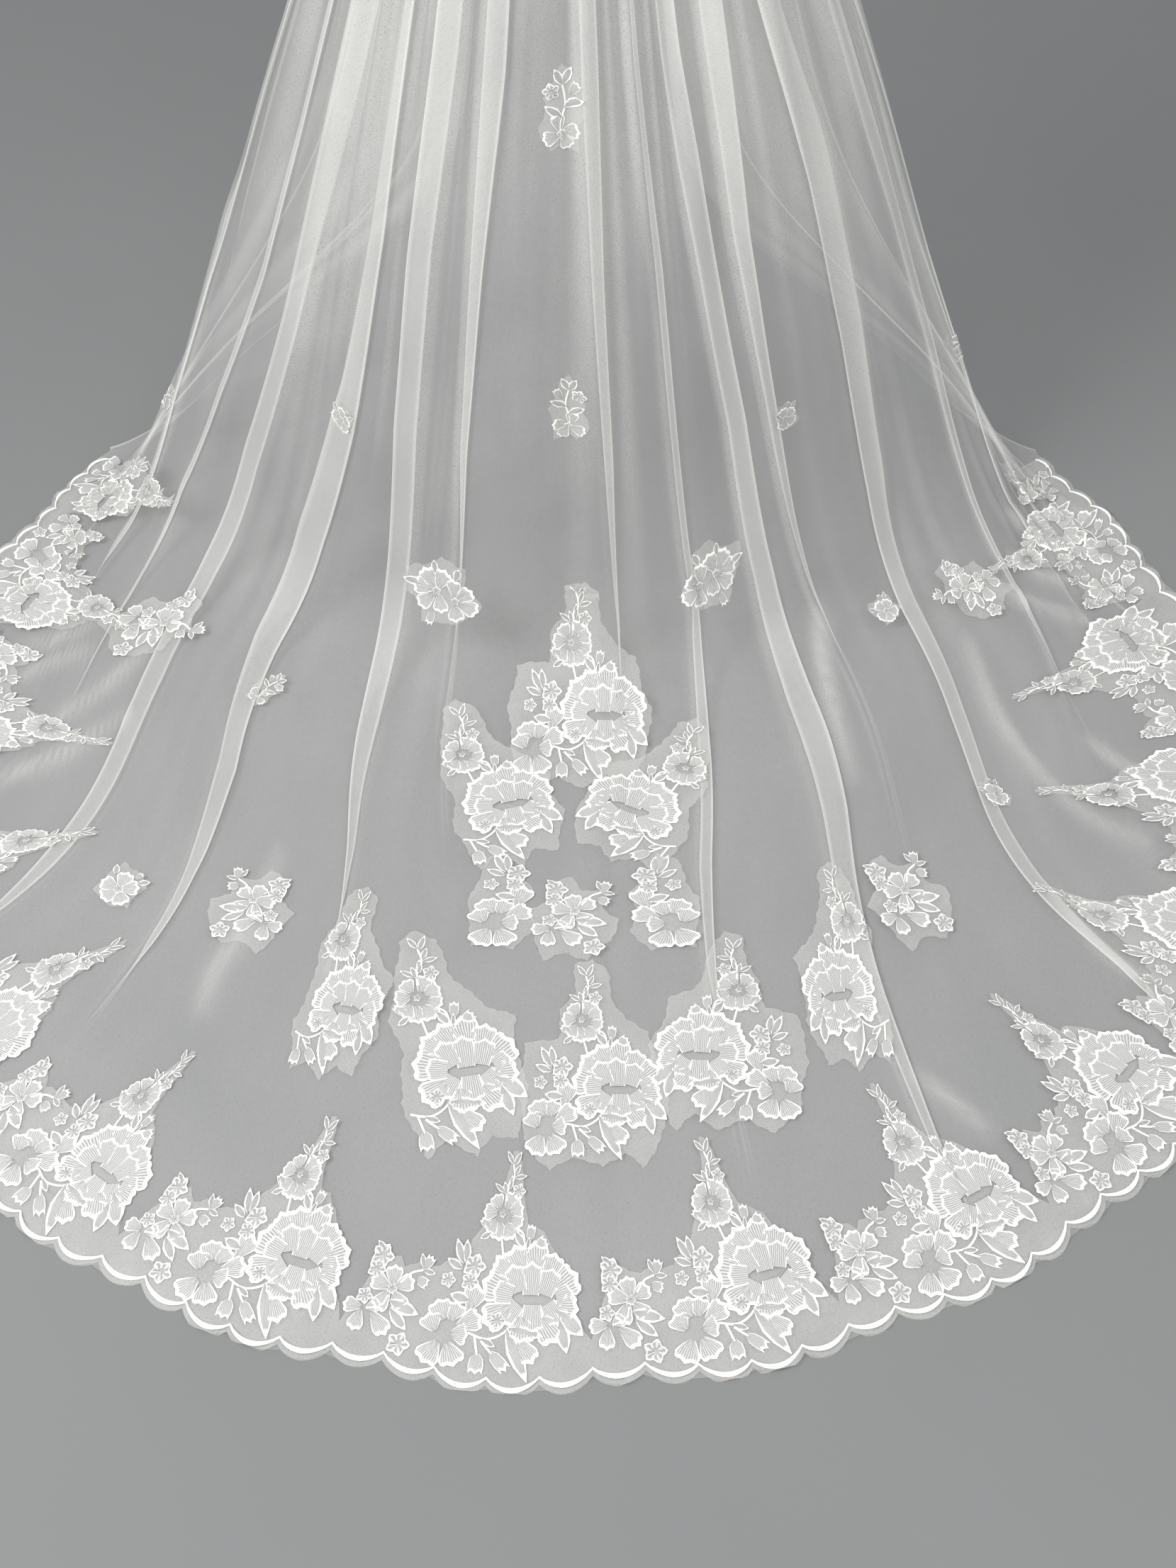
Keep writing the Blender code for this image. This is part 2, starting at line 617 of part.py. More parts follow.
def make_applique(spec, covered, collection, cutters, finish):
    """One cut applique: a skin made from the tulle's points, kept inside its net ground's outline."""
    number, ground, bearing, share, width, height, turn = spec
    metres, across, outward = cloth_frame(bearing, share)
    centre = cloth_point(bearing, share)
    up = np.cross(outward, across)
    outline = [(x * width / 1000.0, y * height / 1000.0) for x, y in GROUNDS[ground]]
    if width < 0:
        outline = outline[::-1]
    prism = flat_outline("ground_outline", outline, APPLIQUE_REACH * 2.0, cutters)
    spin = math.radians(turn)
    side = across * math.cos(spin) - up * math.sin(spin)
    rise = across * math.sin(spin) + up * math.cos(spin)
    place = np.identity(4)
    place[:3, 0], place[:3, 1], place[:3, 2], place[:3, 3] = side, rise, outward, centre
    prism.matrix_world = Matrix(place.tolist())
    cutter = curve_to_mesh(prism, "cutter_%02d" % number, cutters)
    cutter.hide_render = True
    cutter.display_type = "WIRE"

    reach = max(abs(width), height) / 1000.0
    near = np.linalg.norm(covered - centre, axis=2) < reach + SKIN_MARGIN
    used_rows = np.flatnonzero(near.any(axis=1))
    used_columns = np.flatnonzero(near.any(axis=0))
    first_column = max(used_columns[0] - 1, 0)
    block = covered[max(used_rows[0] - 1, 0):used_rows[-1] + 2, first_column:used_columns[-1] + 2]
    turned = [cell - first_column for cell in left_side_cells()]
    name = "applique_%02d" % number
    skin = add_object(name + "_skin", grid_mesh(name, block, turned), cutters)
    skin.hide_render = True
    skin.display_type = "WIRE"
    lift = skin.data
    normals = np.array([vertex.normal[:] for vertex in lift.vertices])
    for vertex, normal in zip(lift.vertices, normals):
        vertex.co = Vector(vertex.co) + Vector(normal) * (WALL / 2.0 + SEAM_GAP)
    add_wall(skin, WALL, 1.0)
    keep = skin.modifiers.new("outline", "BOOLEAN")
    keep.operation = "INTERSECT"
    keep.object = cutter
    made = applied(skin, name, collection)
    bpy.data.objects.remove(skin)
    bpy.data.objects.remove(cutter)
    made.data.materials.clear()
    made.data.materials.append(finish)
    return made


def main():
    """Build every piece of the veil."""
    for old in list(bpy.data.objects):
        bpy.data.objects.remove(old)
    veil = bpy.data.collections.new("bridal_veil")
    cutters = bpy.data.collections.new("cutters")
    bpy.context.scene.collection.children.link(veil)
    bpy.context.scene.collection.children.link(cutters)
    net = material("tulle", (0.82, 0.83, 0.84), 0.70)
    lace = material("lace", (0.90, 0.89, 0.86), 0.75)
    ribbon = material("ribbon", (0.88, 0.87, 0.84), 0.50)
    clear = material("comb_plastic", (0.80, 0.80, 0.80), 0.25)
    make_comb(veil, clear)
    make_binding(veil, cutters, ribbon)
    tulle = make_tulle(veil, net)
    make_border(veil, lace, cloth_tree(tulle))
    covered = cloth_rows(covered=True)
    for spec in APPLIQUES:
        make_applique(spec, covered, veil, cutters, lace)


main()
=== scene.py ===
# %% [markdown]
# Bridal veil
# A one-tier veil of soft tulle is gathered on a comb and falls into a long rounded train.
# The hem and many cut appliques are embroidered net lace. Each step below says what the piece
# is on a real veil, how it could be made in Blender, and why it is made the way it is here.
# The CAD solids of the part are loaded first, because every piece has to lie on them.

# %% Load the frame and the helpers
import math

import bpy
import numpy as np
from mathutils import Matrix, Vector
from mathutils.bvhtree import BVHTree
from mathutils.geometry import delaunay_2d_cdt


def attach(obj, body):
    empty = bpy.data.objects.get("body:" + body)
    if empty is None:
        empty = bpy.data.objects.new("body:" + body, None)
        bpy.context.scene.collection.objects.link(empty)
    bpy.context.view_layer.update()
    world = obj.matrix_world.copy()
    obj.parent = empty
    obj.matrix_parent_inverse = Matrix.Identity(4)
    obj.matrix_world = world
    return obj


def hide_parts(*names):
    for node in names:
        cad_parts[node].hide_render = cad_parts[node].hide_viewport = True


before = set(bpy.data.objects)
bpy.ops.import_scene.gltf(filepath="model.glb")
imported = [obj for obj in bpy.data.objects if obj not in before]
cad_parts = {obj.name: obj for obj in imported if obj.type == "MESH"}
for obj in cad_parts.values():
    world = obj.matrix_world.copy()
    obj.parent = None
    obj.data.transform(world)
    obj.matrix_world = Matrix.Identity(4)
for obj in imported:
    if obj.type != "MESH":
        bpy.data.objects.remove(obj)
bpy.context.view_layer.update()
print("CAD nodes:", len(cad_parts))


def srgb(text):
    """Linear colour of a six-digit hex colour."""
    parts = [int(text[i:i + 2], 16) / 255.0 for i in (0, 2, 4)]
    linear = [p / 12.92 if p <= 0.04045 else ((p + 0.055) / 1.055) ** 2.4 for p in parts]
    return (*linear, 1.0)


def add_node(tree, kind, **inputs):
    """Add a shader node and set its inputs by name, with underscores for spaces."""
    node = tree.nodes.new(kind)
    for name, value in inputs.items():
        socket = node.inputs[name.replace("_", " ")]
        if isinstance(value, bpy.types.NodeSocket):
            tree.links.new(value, socket)
        else:
            socket.default_value = value
    return node


def maths(tree, operation, a, b):
    """Output of a Math node on two values or sockets."""
    node = tree.nodes.new("ShaderNodeMath")
    node.operation = operation
    for socket, value in zip(node.inputs, (a, b)):
        if isinstance(value, bpy.types.NodeSocket):
            tree.links.new(value, socket)
        else:
            socket.default_value = value
    return node.outputs[0]


def two_colours(tree, factor, low, high):
    """Colour that runs from low to high as the factor goes from 0 to 1."""
    ramp = add_node(tree, "ShaderNodeValToRGB", Fac=factor)
    ramp.color_ramp.elements[0].color = srgb(low)
    ramp.color_ramp.elements[1].color = srgb(high)
    return ramp.outputs["Color"]


def new_finish(name):
    """A material with a Principled shader, its node tree and that shader."""
    finish = bpy.data.materials.new(name)
    finish.use_nodes = True
    return finish, finish.node_tree, finish.node_tree.nodes["Principled BSDF"]


# %% [markdown]
# Camera
# The photograph looks down on the train from the side it spreads to. The veil hangs 1.6 m high,
# and the camera stands 2.4 m above the floor in front of the train and tilts down by 54 degrees.
# The comb lies above the picture's top edge, so only the falls and the train show.

# %% Camera
CAMERA_PLACE = (0.025, -2.35, 0.80)
CAMERA_TILT = 35.8
LENS = 48.82

camera_data = bpy.data.cameras.new("camera")
camera_data.lens = LENS
camera_data.sensor_width = 36.0
camera_data.sensor_fit = "AUTO"
camera = bpy.data.objects.new("camera", camera_data)
camera.location = CAMERA_PLACE
camera.rotation_euler = (math.radians(CAMERA_TILT), 0.0, 0.0)
bpy.context.scene.collection.objects.link(camera)
bpy.context.scene.camera = camera
print("camera at", CAMERA_PLACE)

# %% [markdown]
# The cloth's course
# Every fall of the cloth leaves the comb, swings out, lands and runs over the floor to the hem.
# A cloth simulation could find that course, but the train was spread by hand for the photograph,
# so the falls follow the same named sizes as the CAD solid does. A place on the cloth is a bearing
# round the comb, 0 toward the camera, and a share of the fall, 0 at the comb and 1 at the hem.

# %% Sizes of the cloth
COMB_HEIGHT = 1.600
WALL = 0.0010
EDGE = 92.0
GATHERED_HALF = 0.045
GATHERED_Y = -0.0014
TOP_EDGE = 0.0010
HEADING_DEPTH = 0.010
HEM_REACH = [
    (-92.0, 0.727), (-84.0, 0.810), (-75.0, 0.920), (-66.0, 1.060), (-56.0, 1.200), (-42.0, 1.340),
    (-28.0, 1.440), (-12.0, 1.480), (0.0, 1.487), (14.0, 1.470), (32.0, 1.410), (45.0, 1.320),
    (56.0, 1.200), (66.0, 1.060), (75.0, 0.920), (84.0, 0.810), (92.0, 0.727)]
LANDING_REACH = [(0.0, 0.430), (30.0, 0.480), (60.0, 0.640), (78.0, 0.650), (92.0, 0.575)]
TURN_SHARE = 0.68
TURN_REACH = [
    (0.0, 0.40, 1.00), (50.0, 0.40, 1.00), (62.0, 0.36, 0.93), (74.0, 0.30, 0.83),
    (92.0, 0.22, 0.70)]
DRAW_IN = [
    (0.0, 0.0), (0.09, 0.09), (0.22, 0.28), (0.38, 0.49), (0.45, 0.55), (0.8, 0.50), (1.6, 0.30)]
DRAW_IN_FROM = 60.0
FALL_POWER = 1.2
PUFF = 0.038
PUFF_DEPTH = 0.05
PUFF_ENDS = 0.7
WRAP = (0.04, 0.20)
SOFTEN_REACH = 30
SOFTEN_PASSES = 3
SOFTEN = (0.05, 0.25)
CRISP_FROM = 55.0
FALL_SAMPLES = 800
HANG_SAMPLES = 400
LAID_SAMPLES = 200
SHARE_STEP = 0.01


def ease(start, end, value):
    """Soft step from 0 at start to 1 at end."""
    share = np.clip((value - start) / (end - start), 0.0, 1.0)
    return share * share * (3.0 - 2.0 * share)


def read_table(rows, value):
    """Smooth curve through a two-column table."""
    table = np.array(rows, dtype=float)
    places, heights = table[:, 0], table[:, 1]
    slopes = np.gradient(heights, places)
    value = np.clip(np.asarray(value, dtype=float), places[0], places[-1])
    low = np.clip(np.searchsorted(places, value) - 1, 0, len(places) - 2)
    span = places[low + 1] - places[low]
    share = (value - places[low]) / span
    rest = 1.0 - share
    near = (1.0 + 2.0 * share) * rest ** 2 * heights[low] + share * rest ** 2 * span * slopes[low]
    far = (share ** 2 * (3.0 - 2.0 * share) * heights[low + 1]
           - share ** 2 * rest * span * slopes[low + 1])
    return near + far


def soften(points):
    """Even out a line of points and keep its two ends."""
    reach = SOFTEN_REACH
    kernel = np.ones(2 * reach + 1) / (2 * reach + 1)
    for _ in range(SOFTEN_PASSES):
        before = 2.0 * points[0] - points[reach:0:-1]
        after = 2.0 * points[-1] - points[-2:-reach - 2:-1]
        padded = np.concatenate([before, points, after])
        evened = [np.convolve(padded[:, axis], kernel, "valid") for axis in range(3)]
        points = np.stack(evened, axis=1)
    return points


def spaced(points, count):
    """The same line with points an equal length apart, and its length."""
    steps = np.linalg.norm(np.diff(points, axis=0), axis=1)
    along = np.concatenate([[0.0], np.cumsum(steps)])
    even = np.linspace(0.0, along[-1], count)
    placed = np.stack([np.interp(even, along, points[:, axis]) for axis in range(3)], axis=1)
    return placed, along[-1]


def fall_line(bearing):
    """One fall of the cloth from the comb to the hem."""
    reach = float(read_table(HEM_REACH, bearing))
    start_x = GATHERED_HALF * bearing / EDGE
    hem_x = reach * math.sin(math.radians(bearing))
    hem_y = reach * math.cos(math.radians(bearing))
    plan = math.degrees(math.atan2(hem_x - start_x, hem_y))
    laid = math.hypot(hem_x - start_x, hem_y)
    landing = float(read_table(LANDING_REACH, abs(bearing)))
    out = np.concatenate([np.linspace(0.0, 1.0, HANG_SAMPLES),
                          np.linspace(1.0, laid / landing, LAID_SAMPLES)[1:]])
    drop = COMB_HEIGHT - HEADING_DEPTH
    height = drop * np.clip(1.0 - out, 0.0, None) ** FALL_POWER
    bearings, starts, ends = zip(*TURN_REACH)
    start = np.interp(abs(bearing), bearings, starts)
    end = np.interp(abs(bearing), bearings, ends)
    turn = TURN_SHARE * (1.0 - ease(start, end, landing * out)) * ease(*WRAP, drop - height)
    drawn = ease(DRAW_IN_FROM, EDGE, abs(bearing)) * read_table(DRAW_IN, height)
    puff = PUFF * (1.0 - np.exp(-(drop - height) / PUFF_DEPTH)) * ease(0.0, PUFF_ENDS, height)
    radius = landing * out * (1.0 - drawn) + puff
    angle = np.radians(plan * (1.0 + turn))
    x, y = start_x + radius * np.sin(angle), GATHERED_Y - radius * np.cos(angle)
    points = np.stack([x, y, height], axis=1)
    top = np.array([[start_x, GATHERED_Y, COMB_HEIGHT - TOP_EDGE - WALL / 2.0]])
    points, length = spaced(np.concatenate([top, points]), FALL_SAMPLES)
    depth = COMB_HEIGHT - points[:, 2:3]
    share = ease(*SOFTEN, depth) * (1.0 - ease(CRISP_FROM, EDGE, abs(bearing)))
    points = points * (1.0 - share) + soften(points) * share
    points[:, 2] = np.clip(points[:, 2], 0.0, None) + WALL / 2.0 - COMB_HEIGHT
    return points, length


BEARINGS = np.arange(-EDGE, EDGE + 0.5, 1.0)
FALLS = [fall_line(bearing) for bearing in BEARINGS]
CLOTH = np.array([points for points, _ in FALLS])
LENGTHS = np.array([length for _, length in FALLS])


def surface(bearing, share):
    """Points of the smooth cloth at arrays of bearings and shares."""
    across = np.clip(np.asarray(bearing, float) + EDGE, 0.0, len(BEARINGS) - 1.000001)
    along = np.clip(np.asarray(share, float) * (FALL_SAMPLES - 1), 0.0, FALL_SAMPLES - 1.000001)
    across, along = np.broadcast_arrays(across, along)
    i, j = across.astype(int), along.astype(int)
    a, b = (across - i)[..., None], (along - j)[..., None]
    near = CLOTH[i, j] * (1.0 - b) + CLOTH[i, j + 1] * b
    far = CLOTH[i + 1, j] * (1.0 - b) + CLOTH[i + 1, j + 1] * b
    return near * (1.0 - a) + far * a


def surface_frame(bearing, share):
    """Metres a degree, the way across and the way out, at arrays of places."""
    bearing = np.clip(bearing, -EDGE + 1.0, EDGE - 1.0)
    across = surface(bearing + 1.0, share) - surface(bearing - 1.0, share)
    along = (surface(bearing, np.minimum(share + SHARE_STEP, 1.0))
             - surface(bearing, np.maximum(share - SHARE_STEP, 0.0)))
    metres = np.linalg.norm(across, axis=-1)
    out = np.cross(along, across)
    return metres / 2.0, across / metres[..., None], out / np.linalg.norm(out, axis=-1)[..., None]


print("falls: %d, longest %.2f m, at the side edge %.2f m"
      % (len(FALLS), LENGTHS.max(), LENGTHS[0]))

# %% [markdown]
# Folds, gathers and creases
# Where the spread cloth lies double, it makes long flattened pleats, each three layers thick, with
# crisp edges. They are placed one by one as the photograph shows them. Near the comb the cloth is
# gathered, so it ripples finely, and lower down only slack, rounded ridges are left.
# Sine waves in three sizes make the ripples, with a slow drift so that no two are alike. Last come
# the loose creases that the cloth drags on the floor, each along its own curved line, with a
# painted glint along its middle.

# %% Pleats and ridges
PLEAT_SHARES = (0.03, 0.14, 0.28, 0.38, 0.48, 0.58, 0.66, 0.74, 0.81, 0.87, 0.92, 1.00)
PLEATS = [
    # top side, bearings in degrees, widths in millimetres
    (1, (-84, -84, -84, -84, -84, -83, -82, -81, -80, -79, -78, -78),
     (0, 0, 0, 0, 0, 4, 6, 7, 6, 5, 3, 0)),
    (-1, (-74, -74, -74, -74, -74, -73, -72, -71, -70, -69.5, -69, -69),
     (0, 0, 0, 4, 6, 5, 3, 4, 6, 5, 3, 0)),
    (1, (-58, -58, -58, -59, -60, -61, -60, -58, -58, -58, -58, -58),
     (0, 16, 40, 44, 36, 26, 16, 14, 5, 0, 0, 0)),
    (1, (-46, -46, -46, -46, -47, -49.5, -51, -50, -50, -50, -50, -50),
     (3, 12, 17, 14, 12, 10, 9, 8, 5, 0, 0, 0)),
    (-1, (-38, -38, -38, -39, -40.5, -42.5, -42.8, -42.2, -42.3, -42.5, -42.5, -42.5),
     (3, 14, 20, 26, 34, 42, 46, 56, 48, 26, 8, 0)),
    (1, (-29, -29, -29.4, -29.2, -30.5, -32.5, -32.6, -31.2, -31.5, -31.6, -31.6, -31.6),
     (3, 22, 56, 58, 66, 70, 68, 50, 18, 6, 0, 0)),
    (-1, (-21, -21, -21.2, -22.2, -22.1, -20.8, -19.4, -18.4, -18.2, -18.2, -18.2, -18.2),
     (3, 14, 29, 29, 34, 33, 28, 9, 3, 0, 0, 0)),
    (1, (-12, -12, -12.3, -13.3, -13.8, -13, -12, -10, -9, -8, -8, -8),
     (3, 14, 26, 16, 9, 5, 2, 0, 0, 0, 0, 0)),
    (1, (3, 3.5, 4.1, 4.4, 5.2, 5.5, 5, 4, 3, 3, 3, 3),
     (3, 12, 16, 12, 9, 6, 3, 0, 0, 0, 0, 0)),
    (1, (11.5, 11.5, 12, 13.4, 14, 14.6, 12.6, 11.2, 10.8, 10.6, 10.5, 10.5),
     (0, 4, 7, 8, 8, 8, 14, 15, 8, 3, 0, 0)),
    (1, (18, 18, 18.5, 20.7, 22.8, 23.4, 22.8, 23, 22.6, 22, 21.3, 21),
     (3, 20, 48, 54, 53, 56, 58, 48, 26, 14, 9, 0)),
    (1, (28, 27.5, 26.8, 26.4, 27.6, 28.4, 28.6, 28.6, 28.6, 28.6, 28.6, 28.6),
     (0, 8, 20, 16, 10, 7, 4, 2, 0, 0, 0, 0)),
    (-1, (38, 38, 38.4, 40.2, 40.7, 39.8, 38, 37.3, 37.4, 37.8, 38.2, 38.2),
     (3, 24, 72, 66, 56, 58, 44, 34, 28, 20, 11, 0)),
    (1, (50, 50, 50, 51, 53, 54, 53, 51, 50, 50, 50, 50),
     (0, 14, 26, 26, 24, 20, 14, 10, 5, 0, 0, 0)),
    (-1, (61, 61, 61, 61.5, 62, 63, 62, 60, 60, 60, 60, 60),
     (0, 16, 40, 44, 36, 26, 16, 14, 5, 0, 0, 0)),
    (-1, (72, 72, 72, 72, 72, 71.5, 71, 70, 69, 68.5, 68, 68),
     (0, 0, 3, 5, 7, 6, 4, 5, 7, 5, 3, 0)),
    (1, (82, 82, 82, 82, 82, 82, 81, 80, 79, 78, 77, 77),
     (0, 0, 0, 0, 0, 5, 7, 7, 6, 4, 2, 0)),
]
PLEAT_MARGIN = 0.012
PITCH_SHARE = 0.42
FOLD_FULL = 0.009
FOLD_ROUND = 0.0016
FOLD_ANGLES = (1.0, 0.35, -0.35, -1.0)
LAYER_HANGING = 0.0034
LAYER_LAID = 0.0022
PLEAT_STARTS = (0.06, 0.16)
DEGREES_PER_COLUMN = 0.55
ROWS_TOP = [
    0.0, 0.003, 0.006, 0.0085, 0.012, 0.018, 0.026, 0.036, 0.048, 0.062, 0.078, 0.096, 0.118,
    0.142]
LOWER_ROW_COUNT = 132

# Rounded ridges: bearing and share at both ends, half width and height in millimetres
RIDGES = [
    (-88, 0.52, -78, 0.99, 16, 6), (-80, 0.46, -70, 0.97, 15, 6), (-72, 0.42, -64, 0.93, 14, 5),
    (-66, 0.30, -57, 0.80, 12, 5), (-53, 0.24, -52, 0.72, 11, 4), (-34, 0.20, -37, 0.60, 10, 4),
    (-25, 0.20, -27, 0.52, 8, 3), (-17, 0.18, -17, 0.66, 9, 4), (-8, 0.20, -7, 0.62, 9, 4),
    (-3, 0.18, -2, 0.52, 8, 3), (8, 0.18, 9, 0.58, 9, 4), (15, 0.20, 17, 0.66, 8, 3),
    (33, 0.22, 33, 0.70, 10, 4), (45, 0.24, 46, 0.78, 11, 5), (56, 0.28, 57, 0.84, 12, 5),
    (66, 0.32, 62, 0.90, 14, 6), (74, 0.40, 68, 0.95, 15, 6), (82, 0.46, 75, 0.98, 15, 6),
    (89, 0.55, 82, 0.99, 14, 5), (-60, 0.72, -50, 0.98, 12, 4), (52, 0.74, 46, 0.97, 12, 4)]

# Loose creases on the floor: x and y in metres, then half width and height in millimetres
CREASES = [
    ([(0.61, -0.24), (0.65, -0.28), (0.70, -0.30), (0.77, -0.33)], 13, 6),
    ([(0.65, -0.20), (0.69, -0.23), (0.73, -0.25), (0.79, -0.27)], 12, 5),
    ([(0.65, -0.12), (0.69, -0.15), (0.73, -0.18), (0.77, -0.20)], 12, 5),
    ([(0.58, -0.35), (0.59, -0.42), (0.61, -0.51), (0.66, -0.61), (0.72, -0.68), (0.80, -0.73)],
     13, 7),
    ([(0.72, -0.54), (0.79, -0.60), (0.86, -0.64)], 12, 5),
    ([(0.33, -0.23), (0.35, -0.31), (0.36, -0.38), (0.38, -0.52), (0.40, -0.63)], 13, 6),
    ([(0.44, -1.07), (0.48, -1.11), (0.53, -1.16)], 11, 4),
    ([(0.64, -0.78), (0.68, -0.86), (0.73, -0.92), (0.80, -0.96)], 12, 5),
    ([(-0.84, -0.63), (-0.73, -0.58), (-0.69, -0.55), (-0.62, -0.49)], 13, 7),
    ([(-0.81, -0.44), (-0.74, -0.40), (-0.69, -0.38)], 12, 5),
    ([(-0.76, -0.53), (-0.68, -0.46), (-0.64, -0.41), (-0.61, -0.37)], 12, 5),
    ([(-0.81, -0.38), (-0.73, -0.35), (-0.68, -0.31)], 12, 5),
    ([(-0.39, -0.72), (-0.42, -0.84), (-0.46, -0.92), (-0.48, -1.00)], 13, 6)]
CREASE_SAMPLES = 50
LANDED_HEIGHTS = (0.01, 0.08)

# Ripples: waves round the cloth, sway, seed, turn a metre, then depths and heights in metres
RIPPLES = [
    (66.0, 3.0, 1.3, 0.0,
     (0.0, 0.008, 0.035, 0.10, 0.30, 0.55), (0.0006, 0.0007, 0.0028, 0.0034, 0.0016, 0.0)),
    (31.0, 5.0, 4.1, 1.1,
     (0.0, 0.01, 0.10, 0.30, 0.70, 1.20), (0.0, 0.0, 0.0040, 0.0062, 0.0034, 0.0)),
    (13.0, 7.0, 2.2, 0.8,
     (0.0, 0.10, 0.40, 0.90, 1.70, 2.60), (0.0, 0.0, 0.0070, 0.0075, 0.0030, 0.0016))]
WRINKLE_HEIGHT = 0.0011
WRINKLE_SHARES = (0.55, 0.80)
RIDGE_SWAY = 0.8


def drift(value, seed):
    """Slow smooth wander between -1 and 1 along a value."""
    return (np.sin(value * 0.071 + seed) + 0.6 * np.sin(value * 0.157 + seed * 2.7)
            + 0.4 * np.sin(value * 0.331 + seed * 5.1)) / 2.0


def relief(bearing, share):
    """Height of ripples and soft ridges above the smooth cloth, in metres."""
    bearing, share = np.broadcast_arrays(np.asarray(bearing, float), np.asarray(share, float))
    depth = share * np.interp(bearing, BEARINGS, LENGTHS)
    turns = (bearing + EDGE) / (2.0 * EDGE) * 2.0 * math.pi
    out = np.zeros(bearing.shape)
    for waves, sway, seed, turning, depths, heights in RIPPLES:
        wave = np.sin(turns * waves + sway * drift(bearing, seed) + depth * turning)
        out = out + np.interp(depth, depths, heights) * (1.0 + wave)
    metres = np.linalg.norm(surface(bearing + 0.5, share) - surface(bearing - 0.5, share), axis=-1)
    for start, top, end, low, half_width, height in RIDGES:
        along = (share - top) / (low - top)
        centre = start + (end - start) * along + RIDGE_SWAY * drift(share * 60.0, start)
        away = (bearing - centre) * metres / (half_width / 1000.0)
        fade = ease(-0.1, 0.25, along) * (1.0 - ease(0.7, 1.1, along))
        out = out + height / 1000.0 * fade * np.exp(-away ** 2)
    wrinkle = np.sin(bearing * 0.9 + 14.0 * share + 4.0 * drift(bearing, 7.7))
    wrinkle = wrinkle * np.sin(share * 41.0 + 5.0 * drift(bearing * 1.7, 3.3))
    return out + WRINKLE_HEIGHT * ease(*WRINKLE_SHARES, share) * (1.0 + wrinkle)


def loose_creases(points):
    """Height and painted glint of the loose creases at points of the cloth."""
    height, glint = np.zeros(len(points)), np.zeros(len(points))
    laid = 1.0 - ease(*LANDED_HEIGHTS, points[:, 2] + COMB_HEIGHT)
    for line, half_width, top in CREASES:
        steps = np.linspace(0.0, len(line) - 1.0, CREASE_SAMPLES)
        course = np.stack([read_table([(i, spot[axis]) for i, spot in enumerate(line)], steps)
                           for axis in (0, 1)], axis=1)
        away = np.linalg.norm(points[:, None, :2] - course[None], axis=2)
        nearest = away.argmin(axis=1)
        fade = np.sqrt(np.sin(math.pi * nearest / (CREASE_SAMPLES - 1.0)))
        bump = laid * fade * np.exp(-(away.min(axis=1) * 1000.0 / half_width) ** 2)
        height = height + top / 1000.0 * bump
        # Painted glint along the middle of each crease.
        glint = np.maximum(glint, bump)
    return height, glint


def pleat_section(half, span, layer):
    """Points across one pleat whose upper layer runs to +half: ways along the row and ways out."""
    rise = [(-span + (span - half) * k, 2.0 * layer * float(ease(0.0, 1.0, k)))
            for k in (0.3, 0.6, 0.85, 1.0)]
    top = [(-half + 2.0 * half * k, 2.0 * layer) for k in (0.25, 0.5, 0.75, 0.92)]
    nose = [(half + FOLD_ROUND * math.cos(a), layer * (1.62 + 0.38 * math.sin(a)))
            for a in FOLD_ANGLES]
    under = [(half - 2.0 * half * k, layer * (1.25 - 0.5 * k)) for k in (0.15, 0.5, 0.85)]
    heel = [(-half - FOLD_ROUND * math.cos(a), layer * (0.38 + 0.36 * math.sin(a)))
            for a in FOLD_ANGLES]
    foot = [(-half + (half + span) * k, 0.0) for k in (0.1, 0.35, 0.6, 0.8)]
    return np.array(rise + top + nose + under + heel + foot)


SECTION_COLUMNS = len(pleat_section(0.01, 0.02, 0.003))
NOSE_COLUMNS = slice(8, 12)
HEEL_COLUMNS = slice(15, 19)
print("pleats: %d, ridges: %d, creases: %d, columns a pleat: %d"
      % (len(PLEATS), len(RIDGES), len(CREASES), SECTION_COLUMNS + 2))

# %% [markdown]
# The lace edge
# The hem is cut along scallops, five in each repeat of the lace, and each repeat bulges a little
# as a whole. The edge's distance from the train's arc is a small function, because the tulle,
# the lace net, the corded edge and the flowers all need it.

# %% Scalloped edge
REPEATS = 15
SCALLOPS = 5
LACE_EDGE = 91.0
SCALLOP_DEPTH = 0.015
LOBE_DEPTH = 0.016
NET_PAST_CORD = 0.007
REPEAT_ANGLE = 2.0 * LACE_EDGE / REPEATS
REPEAT_WIDTH = 0.312
PHASE = 0.4
MOTIF_CENTRE = 0.64
SPRAY_CENTRE = 0.17
LAST_SHARE = 0.97
LEAST_SQUARE = 0.35
HEM_SAMPLES = 737
HEM_EVENED = 41

# The hem's line in plan, with the way in from it at right angles
HEM_BEARINGS = np.linspace(-EDGE, EDGE, HEM_SAMPLES)
HEM_LINE = surface(HEM_BEARINGS, np.ones(len(HEM_BEARINGS)))[:, :2]
HEM_WAY = np.gradient(HEM_LINE, axis=0)
HEM_WIDTH = np.linalg.norm(HEM_WAY, axis=1) / (HEM_BEARINGS[1] - HEM_BEARINGS[0])
HEM_WAY = HEM_WAY / np.linalg.norm(HEM_WAY, axis=1)[:, None]
HEM_WAY = np.stack([np.convolve(np.pad(HEM_WAY[:, axis], HEM_EVENED // 2, "edge"),
                                np.ones(HEM_EVENED) / HEM_EVENED, "valid")
                    for axis in (0, 1)], axis=1)
HEM_WAY = HEM_WAY / np.linalg.norm(HEM_WAY, axis=1)[:, None]
HEM_ALONG = np.concatenate([[0.0], np.cumsum(np.linalg.norm(np.diff(HEM_LINE, axis=0), axis=1))])


def repeat_place(bearing):
    """Place within the repeat of the lace, 0 to 1."""
    return ((np.asarray(bearing, float) + LACE_EDGE) / REPEAT_ANGLE + PHASE) % 1.0


